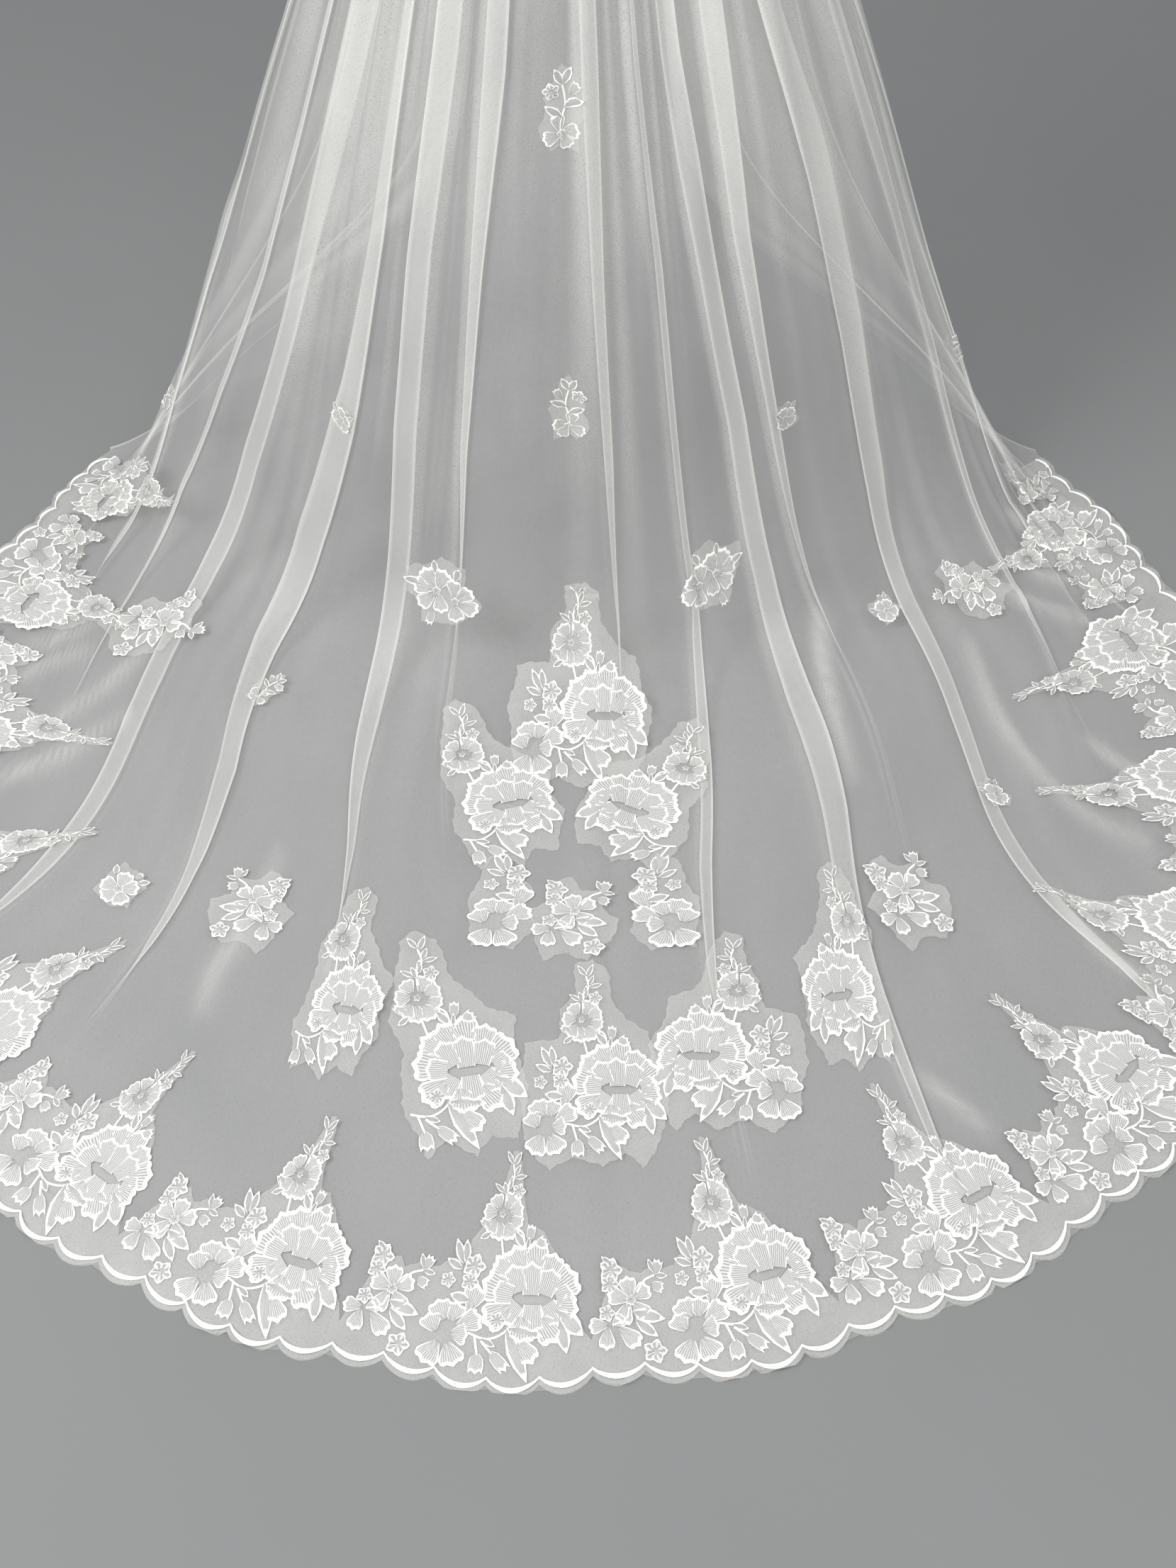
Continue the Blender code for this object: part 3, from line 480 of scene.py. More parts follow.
def lace_scale(bearing):
    """Size of the lace against its full size: the hem is tighter at the sides."""
    return np.interp(bearing, HEM_BEARINGS, HEM_WIDTH) * REPEAT_ANGLE / REPEAT_WIDTH


def edge_inset(bearing):
    """Distance of the corded edge in from the train's arc, in metres."""
    place = repeat_place(bearing)
    wave = np.abs(np.sin(math.pi * SCALLOPS * place))
    lobe = 0.5 + 0.5 * np.cos(2.0 * math.pi * (place - MOTIF_CENTRE + 0.5))
    return (SCALLOP_DEPTH * (1.0 - wave ** 0.8) + LOBE_DEPTH * lobe) * lace_scale(bearing)


def fall_slant(bearing):
    """How squarely the falls meet the hem: 1 where they meet it at a right angle."""
    ends = np.ones(np.shape(bearing))
    last = surface(bearing, ends * LAST_SHARE) - surface(bearing, ends)
    way = np.stack([np.interp(bearing, HEM_BEARINGS, HEM_WAY[:, axis]) for axis in (0, 1)], axis=-1)
    square = np.abs(way[..., 0] * last[..., 1] - way[..., 1] * last[..., 0])
    return np.clip(square / np.linalg.norm(last, axis=-1), LEAST_SQUARE, 1.0)


print("lace: %d repeats of %d scallops, hem %.2f m" % (REPEATS, SCALLOPS, HEM_ALONG[-1]))

# %% [markdown]
# The tulle sheet
# Tulle is a fine hexagon net, far thinner than the CAD wall, so it is one open sheet with no
# thickness. Its points are set in rows and columns: many columns run through each pleat, so that
# its two fold edges are round, and the rows lie closer near the comb. Three measures are stored
# with each point: how dense the net looks there, with painted glint added where the cloth is steep,
# how much painted glint lies on its fold edges, creases and side edges, and its flat place in
# metres for the net's pattern.

# %% Build the tulle
CUT_TOP_WIDTH = 1.55
CUT_HEM_WIDTH = 3.9
SINGLE_LAYER = 0.15
GATHER_SHOWS = 0.72
# Painted glint: the sizes below for steep parts, creases and fold heels draw the net denser there.
STEEP_GLINT_GAIN = 1.7
STEEP_GLINT_MOST = 1.0
CREASE_GLINT = 0.8
LEAST_STEP = 0.0004
HEEL_GLINT = 0.7
TULLE_LIFT = 0.0003
WIDTH_SAMPLES = 185
TOP_ROWS_END = 0.06
LAID_OUT_SHARES = (0.02, 0.12)
HANGING_HEIGHTS = (0.0, 0.25)
HEM_SHARES = (0.93, 1.0)


def clear_selection():
    """Leave edit mode and deselect everything."""
    if bpy.context.object and bpy.context.object.mode != "OBJECT":
        bpy.ops.object.mode_set(mode="OBJECT")
    bpy.ops.object.select_all(action="DESELECT")


def sheet_object(name, points, faces, uvs=None, values=None):
    """A smooth-shaded mesh object from points and faces, with UVs and named values a point."""
    mesh = bpy.data.meshes.new(name)
    mesh.from_pydata([tuple(p) for p in points], [], [tuple(f) for f in faces])
    for polygon in mesh.polygons:
        polygon.use_smooth = True
    if uvs is not None:
        layer = mesh.uv_layers.new(name="cloth")
        corners = np.zeros(len(mesh.loops), dtype=np.int32)
        mesh.loops.foreach_get("vertex_index", corners)
        layer.data.foreach_set("uv", np.asarray(uvs, dtype=np.float32)[corners].ravel())
    for label, numbers in (values or {}).items():
        attribute = mesh.attributes.new(label, "FLOAT", "POINT")
        attribute.data.foreach_set("value", np.asarray(numbers, dtype=np.float32).ravel())
    mesh.update()
    thing = bpy.data.objects.new(name, mesh)
    bpy.context.scene.collection.objects.link(thing)
    return thing


def gap_columns():
    """Number of plain columns in the gap before each pleat and after the last one."""
    hems = [-EDGE] + [pleat[1][-1] for pleat in PLEATS] + [EDGE]
    return [max(3, round((b - a) / DEGREES_PER_COLUMN) - 6) for a, b in zip(hems, hems[1:])]


def tulle_row(share):
    """Bearings, heights of the folds and painted glint on the fold edges of one row's columns."""
    centres = [float(np.interp(share, PLEAT_SHARES, pleat[1])) for pleat in PLEATS]
    widths = [float(np.interp(share, PLEAT_SHARES, pleat[2])) / 1000.0 for pleat in PLEATS]
    bounds = [-EDGE] + centres + [EDGE]
    starts = float(ease(*PLEAT_STARTS, share))
    metres = surface_frame(np.array(centres), np.full(len(centres), share))[0]
    high = surface(np.array(centres), np.full(len(centres), share))[:, 2] + COMB_HEIGHT
    layers = LAYER_LAID + (LAYER_HANGING - LAYER_LAID) * ease(*HANGING_HEIGHTS, high)
    ways, outs, glint_paints = [], [], []
    previous = -EDGE
    for index, plain in enumerate(gap_columns()):
        limit = EDGE
        if index < len(PLEATS):
            beside = min(centres[index] - bounds[index], bounds[index + 2] - centres[index])
            room = beside * metres[index]
            span = min(widths[index] / 2.0 + PLEAT_MARGIN, PITCH_SHARE * room)
            width = min(widths[index], span)
            limit = centres[index] - span / metres[index]
        gap = np.linspace(previous, limit, plain + 2)[(0 if index == 0 else 1):]
        ways.append(gap)
        outs.append(np.zeros(len(gap)))
        glint_paints.append(np.zeros(len(gap)))
        if index == len(PLEATS):
            break
        fold = min(width / FOLD_FULL, 1.0) * starts
        section = pleat_section(width / 2.0, span, layers[index])
        flat = np.linspace(-span, span, SECTION_COLUMNS + 2)[1:-1]
        glint_paint = np.zeros(SECTION_COLUMNS)
        # Painted glint on the fold's nose and heel: the net is drawn denser there.
        glint_paint[NOSE_COLUMNS] = 1.0
        glint_paint[HEEL_COLUMNS] = HEEL_GLINT
        if PLEATS[index][0] < 0:
            section = section[::-1] * np.array([-1.0, 1.0])
            glint_paint = glint_paint[::-1]
        way = flat * (1.0 - fold) + section[:, 0] * fold
        ways.append(centres[index] + way / metres[index])
        outs.append(section[:, 1] * fold)
        glint_paints.append(glint_paint * fold)
        previous = centres[index] + span / metres[index]
        ways.append(np.array([previous]))
        outs.append(np.zeros(1))
        glint_paints.append(np.zeros(1))
    laid_out = np.concatenate(ways)
    even = np.linspace(-EDGE, EDGE, len(laid_out))
    share_laid = float(ease(*LAID_OUT_SHARES, share))
    placed = even * (1.0 - share_laid) + laid_out * share_laid
    return placed, np.concatenate(outs), np.concatenate(glint_paints)


def tulle_shares():
    """Shares of the rows from the comb to the hem, by distance at first."""
    top = np.array(ROWS_TOP) / LENGTHS.max()
    return np.concatenate([top, np.linspace(TOP_ROWS_END, 1.0, LOWER_ROW_COUNT)])


def build_tulle():
    """The sheet of tulle with its folds, as one grid."""
    points, uvs, cover_and_glint, edge = [], [], [], []
    for share in tulle_shares():
        bearing, out, glint_paint = tulle_row(share)
        lengths = np.interp(bearing, BEARINGS, LENGTHS)
        inset = np.maximum(edge_inset(bearing) - NET_PAST_CORD, 0.0) / lengths / fall_slant(bearing)
        place = share * (1.0 - inset * ease(*HEM_SHARES, share))
        outward = surface_frame(bearing, place)[2]
        smooth = surface(bearing, place)
        creased, glint = loose_creases(smooth)
        height = out + relief(bearing, place) + creased
        points.append(smooth + outward * height[:, None])
        bearings = np.linspace(-EDGE, EDGE, WIDTH_SAMPLES)
        line = surface(bearings, np.full(WIDTH_SAMPLES, share))
        width = np.linalg.norm(np.diff(line, axis=0), axis=1).sum()
        cut = CUT_TOP_WIDTH + (CUT_HEM_WIDTH - CUT_TOP_WIDTH) * share
        metres = surface_frame(bearing, place)[0]
        steps = np.maximum(np.abs(np.gradient(bearing)) * metres, LEAST_STEP)
        slope = np.abs(np.gradient(height)) / steps
        slope = np.convolve(np.pad(slope, 1, "edge"), (0.25, 0.5, 0.25), "valid")
        # Painted glint: the net is drawn denser where the cloth is steep.
        steep_glint = 1.0 + STEEP_GLINT_GAIN * np.minimum(slope, STEEP_GLINT_MOST)
        fullness = max(1.0, cut / width) ** GATHER_SHOWS * steep_glint
        cover_and_glint.append(1.0 - (1.0 - SINGLE_LAYER) ** fullness)
        # Painted glint along the loose creases and on the sheet's two side edges.
        glint_paint = np.maximum(glint_paint, CREASE_GLINT * glint)
        glint_paint[0] = glint_paint[-1] = 1.0
        edge.append(glint_paint)
        uvs.append(np.stack([bearing / EDGE * 0.5 * cut, place * lengths], axis=1))
    points = np.array(points)
    points[..., 2] = np.maximum(points[..., 2], -COMB_HEIGHT + TULLE_LIFT)
    rows, columns = points.shape[:2]
    corner = (np.arange(rows - 1)[:, None] * columns + np.arange(columns - 1)[None, :]).ravel()
    faces = np.stack([corner, corner + columns, corner + columns + 1, corner + 1], axis=1)
    # The first value is the net's cover with painted glint on steep parts, the second is painted
    # glint on folds, creases and side edges.
    values = {"net_cover_and_glint": np.array(cover_and_glint), "painted_glint": np.array(edge)}
    flat = np.array(uvs).reshape(-1, 2)
    return sheet_object("tulle_veil", points.reshape(-1, 3), faces, flat, values)


tulle = build_tulle()
print("tulle: %d points, %d faces" % (len(tulle.data.vertices), len(tulle.data.polygons)))

# %% [markdown]
# Shapes of the embroidery
# The lace flowers are machine embroidery: bundles of thread run out from the middle of a petal,
# and a thicker rolled cord follows its edge. Each kind of shape is modelled once as a small
# patch that points along +Y with a length of 1: a petal with a wavy end, a lobe with a broad
# foot, a leaf with a raised rib, a bud with three tips and a round blossom. Rows of the patch are
# picked by their place and scaled, as one would by hand in edit mode. The raised edge is real
# relief, because it catches the light, and the threads come from the material.

# %% Model the five shapes
PETAL_ROWS = [
    (0.00, 0.20, 0.10), (0.30, 0.62, 0.45), (0.62, 0.92, 0.30), (0.86, 1.00, 1.00),
    (1.00, 0.90, 0.00)]
LEAF_ROWS = [
    (0.00, 0.05, 0.4), (0.18, 0.55, 0.6), (0.42, 0.98, 0.7), (0.68, 0.80, 0.7),
    (0.88, 0.36, 0.6), (1.00, 0.04, 0.2)]
LOBE_ROWS = [
    (0.00, 0.78, 0.90), (0.25, 0.88, 0.50), (0.60, 1.00, 0.30), (0.86, 0.98, 1.00),
    (1.00, 0.86, 0.00)]
BUD_ROWS = [(0.00, 0.22, 0.3), (0.30, 0.85, 0.8), (0.62, 0.98, 0.7), (1.00, 0.86, 0.0)]

LEAF_RIM = 1.35


def pick(test):
    """In edit mode, select just the vertices that pass a test of their place."""
    bpy.ops.mesh.select_all(action="DESELECT")
    bpy.ops.object.mode_set(mode="OBJECT")
    for vertex in bpy.context.object.data.vertices:
        vertex.select = bool(test(vertex.co))
    bpy.ops.object.mode_set(mode="EDIT")


def patch_from_rows(name, columns, rows):
    """A grid patch whose rows are moved and scaled one by one."""
    clear_selection()
    count = len(rows) - 1
    bpy.ops.mesh.primitive_grid_add(x_subdivisions=columns, y_subdivisions=count, size=1.0,
                                    location=(0, 0, 0))
    patch = bpy.context.object
    patch.name = name
    bpy.ops.object.mode_set(mode="EDIT")
    bpy.ops.mesh.select_mode(type="VERT")
    for row, (place, width, lift) in enumerate(rows):
        y = -0.5 + row / count
        pick(lambda co: abs(co.y - y) < 0.01 and abs(co.z) < 0.001)
        bpy.ops.transform.resize(value=(width, 1.0, 1.0), center_override=(0.0, y, 0.0))
        bpy.ops.transform.translate(value=(0.0, place - row / count, 2.0 + lift))
    bpy.ops.object.mode_set(mode="OBJECT")
    return patch


def take(patch, shape=None):
    """Points, faces and thread UVs of a patch, which is then removed."""
    points = np.array([vertex.co[:] for vertex in patch.data.vertices])
    faces = [list(polygon.vertices) for polygon in patch.data.polygons]
    mesh = patch.data
    bpy.data.objects.remove(patch)
    bpy.data.meshes.remove(mesh)
    if shape is not None:
        points, uvs = shape(points)
    return points, faces, uvs


def grid_shape(rows, wave_count, wave_depth, droop, rib):
    """Way to bend a patch made from rows: its end waves and droops, or its middle has a rib."""
    places, widths, _ = zip(*rows)

    def shape(points):
        """Bent points of the patch and their thread UVs."""
        x, y, z = points[:, 0], points[:, 1] + 0.5, points[:, 2] - 2.0
        threads = x / np.interp(y, places, widths) * (1.0 if rib == 0.0 else LEAF_RIM)
        side = np.clip(np.abs(x) * 2.0, 0.0, 1.0)
        end = ease(0.35, 1.0, y)
        y = y - droop * side ** 2 * end
        y = y + wave_depth * np.cos(x * 2.0 * math.pi * wave_count) * end
        if rib == 0.0:
            z = z * (1.0 - 0.55 * side ** 4)
        else:
            z = z * (1.0 - side * 0.75) + rib * (side < 0.1)
        return np.stack([x, y, z], axis=1), np.stack([threads, points[:, 1] + 0.5], axis=1)
    return shape


def round_blossom():
    """Five-lobed blossom: a filled circle, inset twice, with its middle raised."""
    clear_selection()
    bpy.ops.mesh.primitive_circle_add(vertices=20, radius=1.0, fill_type="NGON", location=(0, 0, 0))
    patch = bpy.context.object
    bpy.ops.object.mode_set(mode="EDIT")
    bpy.ops.mesh.select_all(action="SELECT")
    bpy.ops.mesh.inset(thickness=0.20, depth=0.9)
    bpy.ops.mesh.inset(thickness=0.42, depth=-0.5)
    bpy.ops.mesh.poke(offset=0.35)
    bpy.ops.object.mode_set(mode="OBJECT")

    def shape(points):
        """Five lobes from the round patch, and their thread UVs."""
        turn = np.arctan2(points[:, 1], points[:, 0])
        radius = np.hypot(points[:, 0], points[:, 1])
        lobed = radius * (0.86 + 0.16 * np.cos(5.0 * turn) * ease(0.2, 0.9, radius))
        spread = np.stack([lobed * np.cos(turn), lobed * np.sin(turn), np.abs(points[:, 2])],
                          axis=1)
        return spread, np.stack([turn / math.pi * 0.38, radius], axis=1)
    return take(patch, shape)


SHAPES = {
    "petal": take(patch_from_rows("petal", 8, PETAL_ROWS),
                  grid_shape(PETAL_ROWS, 2.5, 0.055, 0.22, 0.0)),
    "lobe": take(patch_from_rows("lobe", 8, LOBE_ROWS),
                 grid_shape(LOBE_ROWS, 2.0, 0.05, 0.16, 0.0)),
    "leaf": take(patch_from_rows("leaf", 4, LEAF_ROWS), grid_shape(LEAF_ROWS, 0.0, 0.0, 0.0, 0.5)),
    "bud": take(patch_from_rows("bud", 6, BUD_ROWS), grid_shape(BUD_ROWS, 2.0, 0.10, 0.0, 0.0)),
    "blossom": round_blossom(),
}
for label, (shape_points, shape_faces, _) in SHAPES.items():
    print("%s: %d faces, from %s to %s"
          % (label, len(shape_faces), shape_points.min(0).round(2), shape_points.max(0).round(2)))

# %% [markdown]
# Motifs
# A motif is a list of shapes on a flat board, 100 units high. Petals, lobes, leaves and buds go
# from their foot to their tip with a width, blossoms have a middle and a radius, and stems run
# through three or four points. The groups below are ordinary lace flowers laid out in the
# photograph's manner: a spire of small leaves, an open flower, a full peony with a dark slit, and
# sprays, clusters and pairs of small flowers. Larger motifs are made by putting groups together.

# %% Groups of flowers and leaves
SPIRE = [
    ("stem", (-3, 77), (-3, 84), (0, 88), (-1, 94)), ("leaf", (-1, 94), (-5, 100), 3.0),
    ("leaf", (-1, 93), (3, 100), 3.2), ("leaf", (0, 89), (3, 94), 2.8),
    ("leaf", (0, 88), (7, 89), 2.6), ("leaf", (-2, 82), (-1, 89), 3.0),
    ("leaf", (-3, 80), (-5, 86), 3.2), ("leaf", (-4, 81), (-10, 85), 2.6),
    ("blossom", (3, 82), 3.8)]
OPEN_FLOWER = [
    ("petal", (-3, 74), (1, 81), 7.5), ("petal", (-1, 73), (6, 75), 8.5),
    ("petal", (-6, 74), (-9, 80), 7.5), ("petal", (-7, 72), (-14, 72), 8.0),
    ("petal", (-7, 69), (-11, 63), 7.5), ("petal", (-5, 68), (-5, 60), 9.0),
    ("petal", (-2, 68), (2, 61), 8.5), ("petal", (0, 70), (6, 67), 7.0),
    ("blossom", (-4.2, 71.4), 1.7), ("leaf", (3, 64), (8, 57), 4.4),
    ("bud", (-10, 64), (-14, 69), 4.0), ("leaf", (-9, 63), (-14, 60), 3.2),
    ("stem", (-4, 62), (-3, 58), (-2, 53)), ("stem", (3, 66), (7, 63), (8, 56)),
    ("leaf", (9, 56), (10, 62), 2.4), ("bud", (10, 60), (11, 67), 4.4),
    ("stem", (9, 55), (12, 58), (14, 60)), ("bud", (13, 57), (18, 61), 5.4)]
PEONY = [
    ("petal", (4, 38), (-10, 42), 15.0), ("petal", (6, 43), (-5, 53), 10.0),
    ("petal", (9, 45), (3, 58), 11.0), ("petal", (14, 46), (13, 60), 13.0),
    ("petal", (19, 44), (23, 55), 11.0), ("petal", (21, 39), (33, 46), 15.0),
    ("petal", (21, 33), (33, 31), 12.0), ("petal", (16, 29), (24, 18), 13.0),
    ("petal", (9, 29), (8, 17), 13.0), ("petal", (4, 32), (-8, 25), 13.0),
    ("lobe", (23.5, 36), (31, 38.5), 9.0), ("lobe", (18, 37.2), (22, 49), 9.5),
    ("lobe", (12, 37), (12, 52), 9.5), ("lobe", (7, 38.2), (2.5, 50), 9.0),
    ("lobe", (4, 37), (-5, 38.5), 10.0), ("lobe", (19.5, 33.8), (25, 25), 9.0),
    ("lobe", (6.5, 33.4), (0, 25), 9.0), ("lobe", (13, 33.0), (13, 21), 10.0),
    ("leaf", (24, 31), (35, 20), 9.0), ("leaf", (25, 27), (28, 13), 6.5)]
PEONY_FOOT = [
    ("stem", (6, 27), (1, 21), (-6, 18), (-14, 20)), ("leaf", (2, 23), (12, 1), 7.0),
    ("leaf", (3, 23), (18, 20), 6.0), ("petal", (7, 19), (14, 9), 9.5),
    ("blossom", (-2, 26), 3.8), ("stem", (-11, 19), (-10, 15), (-9, 11)),
    ("bud", (-9, 12), (-9, 4), 6.5), ("leaf", (-8, 18), (-2, 15), 3.2),
    ("stem", (-8, 17), (-5, 14), (-3, 12)), ("bud", (-4, 13), (3, 6), 5.5)]
CLUSTER = [
    ("petal", (-26, 15), (-31, 6), 11.0), ("petal", (-22, 15), (-18, 6), 11.0),
    ("petal", (-21, 19), (-14, 19), 9.5), ("petal", (-28, 19), (-32, 26), 10.0),
    ("petal", (-25, 24), (-29, 32), 10.5), ("petal", (-22, 24), (-20, 32), 10.0),
    ("petal", (-19, 22), (-9, 27), 10.0), ("petal", (-15, 29), (-12, 40), 10.5),
    ("leaf", (-15, 33), (-24, 35), 5.5), ("blossom", (-16, 41), 4.2),
    ("blossom", (-15, 48), 5.6), ("leaf", (-20, 48), (-25, 59), 4.6),
    ("leaf", (-19, 49), (-20, 59), 4.4), ("leaf", (-20, 46), (-28, 50), 4.2),
    ("blossom", (-26, 41), 3.6)]
SPRAY = [
    ("petal", (0, 29), (-1, 38), 8.0), ("petal", (1, 29), (9, 33), 8.0),
    ("petal", (1, 27), (7, 20), 8.0), ("petal", (-1, 27), (-5, 18), 8.0),
    ("petal", (-1, 28), (-10, 31), 8.0), ("blossom", (0, 28), 2.4), ("blossom", (-8, 41), 5.6),
    ("blossom", (-9, 35), 4.4), ("leaf", (-7, 43), (-12, 47), 3.2),
    ("stem", (3, 31), (7, 36), (12, 38)), ("bud", (12, 38), (15, 44), 4.6),
    ("leaf", (12, 38), (18, 37), 3.0), ("leaf", (12, 39), (10, 45), 3.0),
    ("bud", (10, 34), (15, 32), 4.8), ("stem", (-1, 25), (-3, 20), (-9, 18)),
    ("blossom", (-11, 23), 3.8), ("petal", (-11, 18), (-19, 18), 7.0),
    ("petal", (-11, 17), (-12, 8), 7.0), ("petal", (-9, 18), (-3, 21), 6.0),
    ("leaf", (0, 23), (14, 19), 6.6), ("leaf", (1, 20), (10, 12), 5.4),
    ("petal", (-6, 17), (2, 9), 8.0), ("blossom", (8, 6), 5.2)]
SPRIG = [
    ("stem", (0, 4), (1, 12), (-1, 22), (1, 32)), ("leaf", (1, 31), (-3, 40), 4.6),
    ("leaf", (1, 31), (5, 39), 4.6), ("leaf", (0, 20), (-9, 26), 4.8),
    ("leaf", (0, 15), (9, 21), 4.8), ("blossom", (6, 28), 4.4), ("petal", (0, 8), (-8, 9), 8.0),
    ("petal", (1, 8), (3, 17), 7.0), ("petal", (1, 6), (9, 4), 8.0),
    ("petal", (0, 6), (-4, 0), 7.0), ("blossom", (0, 7), 2.6), ("bud", (-3, 26), (-6, 33), 4.0)]
BLOOM = [
    ("petal", (0, 1), (-3, 14), 12.0), ("petal", (1, 1), (11, 8), 12.0),
    ("petal", (1, -1), (10, -9), 12.0), ("petal", (0, -1), (-5, -12), 12.0),
    ("petal", (-1, 0), (-13, -1), 12.0), ("blossom", (0, 0), 4.0),
    ("leaf", (8, 10), (14, 16), 5.0), ("leaf", (-9, 8), (-13, 15), 5.0),
    ("bud", (5, 12), (6, 18), 4.0)]
PAIR = [
    ("petal", (-4, 3), (-14, 9), 10.0), ("petal", (-3, 4), (-5, 16), 10.0),
    ("petal", (-2, 3), (6, 12), 10.0), ("petal", (-5, 0), (-15, -3), 9.0),
    ("petal", (-2, 0), (-4, -10), 9.0), ("blossom", (-3, 2), 2.6),
    ("petal", (7, -5), (16, -2), 9.0), ("petal", (6, -3), (9, 7), 8.5),
    ("petal", (7, -7), (15, -14), 9.0), ("petal", (5, -7), (3, -16), 9.0),
    ("blossom", (6, -5), 2.4), ("leaf", (-10, 7), (-17, 14), 5.0),
    ("leaf", (10, 6), (15, 12), 5.0), ("bud", (-8, -8), (-13, -14), 4.5),
    ("leaf", (0, 12), (2, 19), 4.0)]
MOTIFS = {
    "full": CLUSTER + PEONY_FOOT + PEONY + OPEN_FLOWER + SPIRE,
    "tall": PEONY_FOOT + PEONY + OPEN_FLOWER + SPIRE,
    "spray": SPRAY, "sprig": SPRIG, "bloom": BLOOM, "cluster": CLUSTER, "pair": PAIR,
}
STEM_WIDTH = 1.0
STEM_LIFT = 1.1
BLOSSOM_LIFT = 0.25
ORDER_LIFT = 0.05
RELIEF_HEIGHT = 0.0011


def stem_strip(points):
    """A narrow rounded strip along a smooth line through its points, in units of the board."""
    line = np.array(points, float)
    steps = np.linspace(0.0, len(line) - 1.0, 4 * (len(line) - 1) + 1)
    line = np.stack([read_table(list(zip(range(len(line)), line[:, axis])), steps)
                     for axis in (0, 1)], axis=1)
    way = np.gradient(line, axis=0)
    way = way / np.linalg.norm(way, axis=1)[:, None]
    side = np.stack([way[:, 1], -way[:, 0]], axis=1) * STEM_WIDTH / 2.0
    flat = np.stack([line - side, line, line + side], axis=1)
    lift = np.tile([0.0, STEM_LIFT, 0.0], (len(line), 1))
    spots = np.concatenate([flat, lift[..., None]], axis=2).reshape(-1, 3)
    uvs = np.stack([np.tile([-0.2, 0.0, 0.2], len(line)), np.repeat(steps, 3) * 0.5 + 2.0], axis=1)
    corner = (np.arange(len(line) - 1)[:, None] * 3 + np.arange(2)[None, :]).ravel()
    return spots, np.stack([corner, corner + 1, corner + 4, corner + 3], axis=1).tolist(), uvs


def board(motif):
    """All shapes of a motif on its board: points with a relief, faces and thread UVs."""
    all_points, all_faces, all_uvs = [], [], []
    count = 0
    for order, item in enumerate(motif):
        kind = item[0]
        if kind == "stem":
            points, faces, uvs = stem_strip(item[1:])
        elif kind == "blossom":
            points, faces, uvs = SHAPES[kind]
            points = points * (item[2], item[2], 1.0) + (*item[1], BLOSSOM_LIFT)
        else:
            foot, tip = np.array(item[1], float), np.array(item[2], float)
            points, faces, uvs = SHAPES[kind]
            way = tip - foot
            side = np.array([way[1], -way[0]]) / np.linalg.norm(way) * item[3]
            flat = foot + points[:, :1] * side + points[:, 1:2] * way
            points = np.concatenate([flat, points[:, 2:3]], axis=1)
        points = points + (0.0, 0.0, ORDER_LIFT * (order % 5))
        all_points.append(points)
        all_uvs.append(uvs)
        all_faces += [[corner + count for corner in face] for face in faces]
        count += len(points)
    return np.concatenate(all_points), all_faces, np.concatenate(all_uvs)


BOARDS = {name: board(motif) for name, motif in MOTIFS.items()}
for label, (spots, faces, _) in BOARDS.items():
    print("%s: %d faces, %s to %s"
          % (label, len(faces), spots.min(0).round(1), spots.max(0).round(1)))

# %% [markdown]
# The lace hem
# The hem is a strip of embroidered net, sewn flat on the train: net with a jagged inner edge
# that rises to a spire in each repeat, a loose spray beside the spire, and a rolled cord along
# the scallops. A place on it is a distance along the hem and a distance in from it, because the
# falls meet the hem aslant at the sides and would shear the flowers. Each point then drops
# straight onto the tulle, so the lace follows the ripples. It is one piece with two finishes.

# %% Lay the lace hem
# Depth of the net by the place in its repeat, 0 to 1, in metres
LACE_DEPTH = [
    (0.00, 0.060), (0.07, 0.125), (0.12, 0.150), (0.16, 0.152), (0.20, 0.140), (0.27, 0.150),
    (0.33, 0.146), (0.37, 0.150), (0.44, 0.165), (0.50, 0.195), (0.55, 0.222), (0.60, 0.262),
    (0.625, 0.305), (0.665, 0.305), (0.69, 0.262), (0.71, 0.212), (0.77, 0.205), (0.84, 0.185),
    (0.90, 0.125), (0.95, 0.090), (1.00, 0.060)]
NET_STATIONS = 40
NET_ROWS = 9
CORD_STATIONS = 50
CORD_WIDTH = 0.0058
CORD_HEIGHT = 0.0022
MOTIF_HEIGHT = 0.292
LIFT_NET = 0.0006
LIFT_THREAD = 0.0009
# The spires reach further in near the sides: bearing and factor
DEEPER = [
    (-92.0, 1.0), (-72.0, 1.15), (-60.0, 1.22), (-46.0, 1.18), (-30.0, 1.0), (30.0, 1.0),
    (46.0, 1.18), (60.0, 1.22), (72.0, 1.15), (92.0, 1.0)]
DROP_FROM = 0.06
NICK = 0.004
CORD_SECTION = ((-0.5, 0.0), (-0.3, 0.8), (0.0, 1.0), (0.3, 0.8), (0.5, 0.0))
CORD_OVER_NET = 0.0002
CORD_WIDTHS = (0.65, 0.5)
EDGE_LEAST = 0.0003
CORD_LEAST = 0.0002
END_MARGIN = 0.004
TREE = BVHTree.FromObject(tulle, bpy.context.evaluated_depsgraph_get())


def drop_on_cloth(points, outward, height):
    """Points dropped onto the tulle from outside, and raised by a height."""
    way = Vector(-outward)
    landed = []
    for point, lift in zip(points, height):
        start = Vector(point + outward * DROP_FROM)
        hit = TREE.ray_cast(start, way, DROP_FROM * 2.5)[0]
        landed.append(point if hit is None else np.array(hit) + outward * lift)
    return np.array(landed)


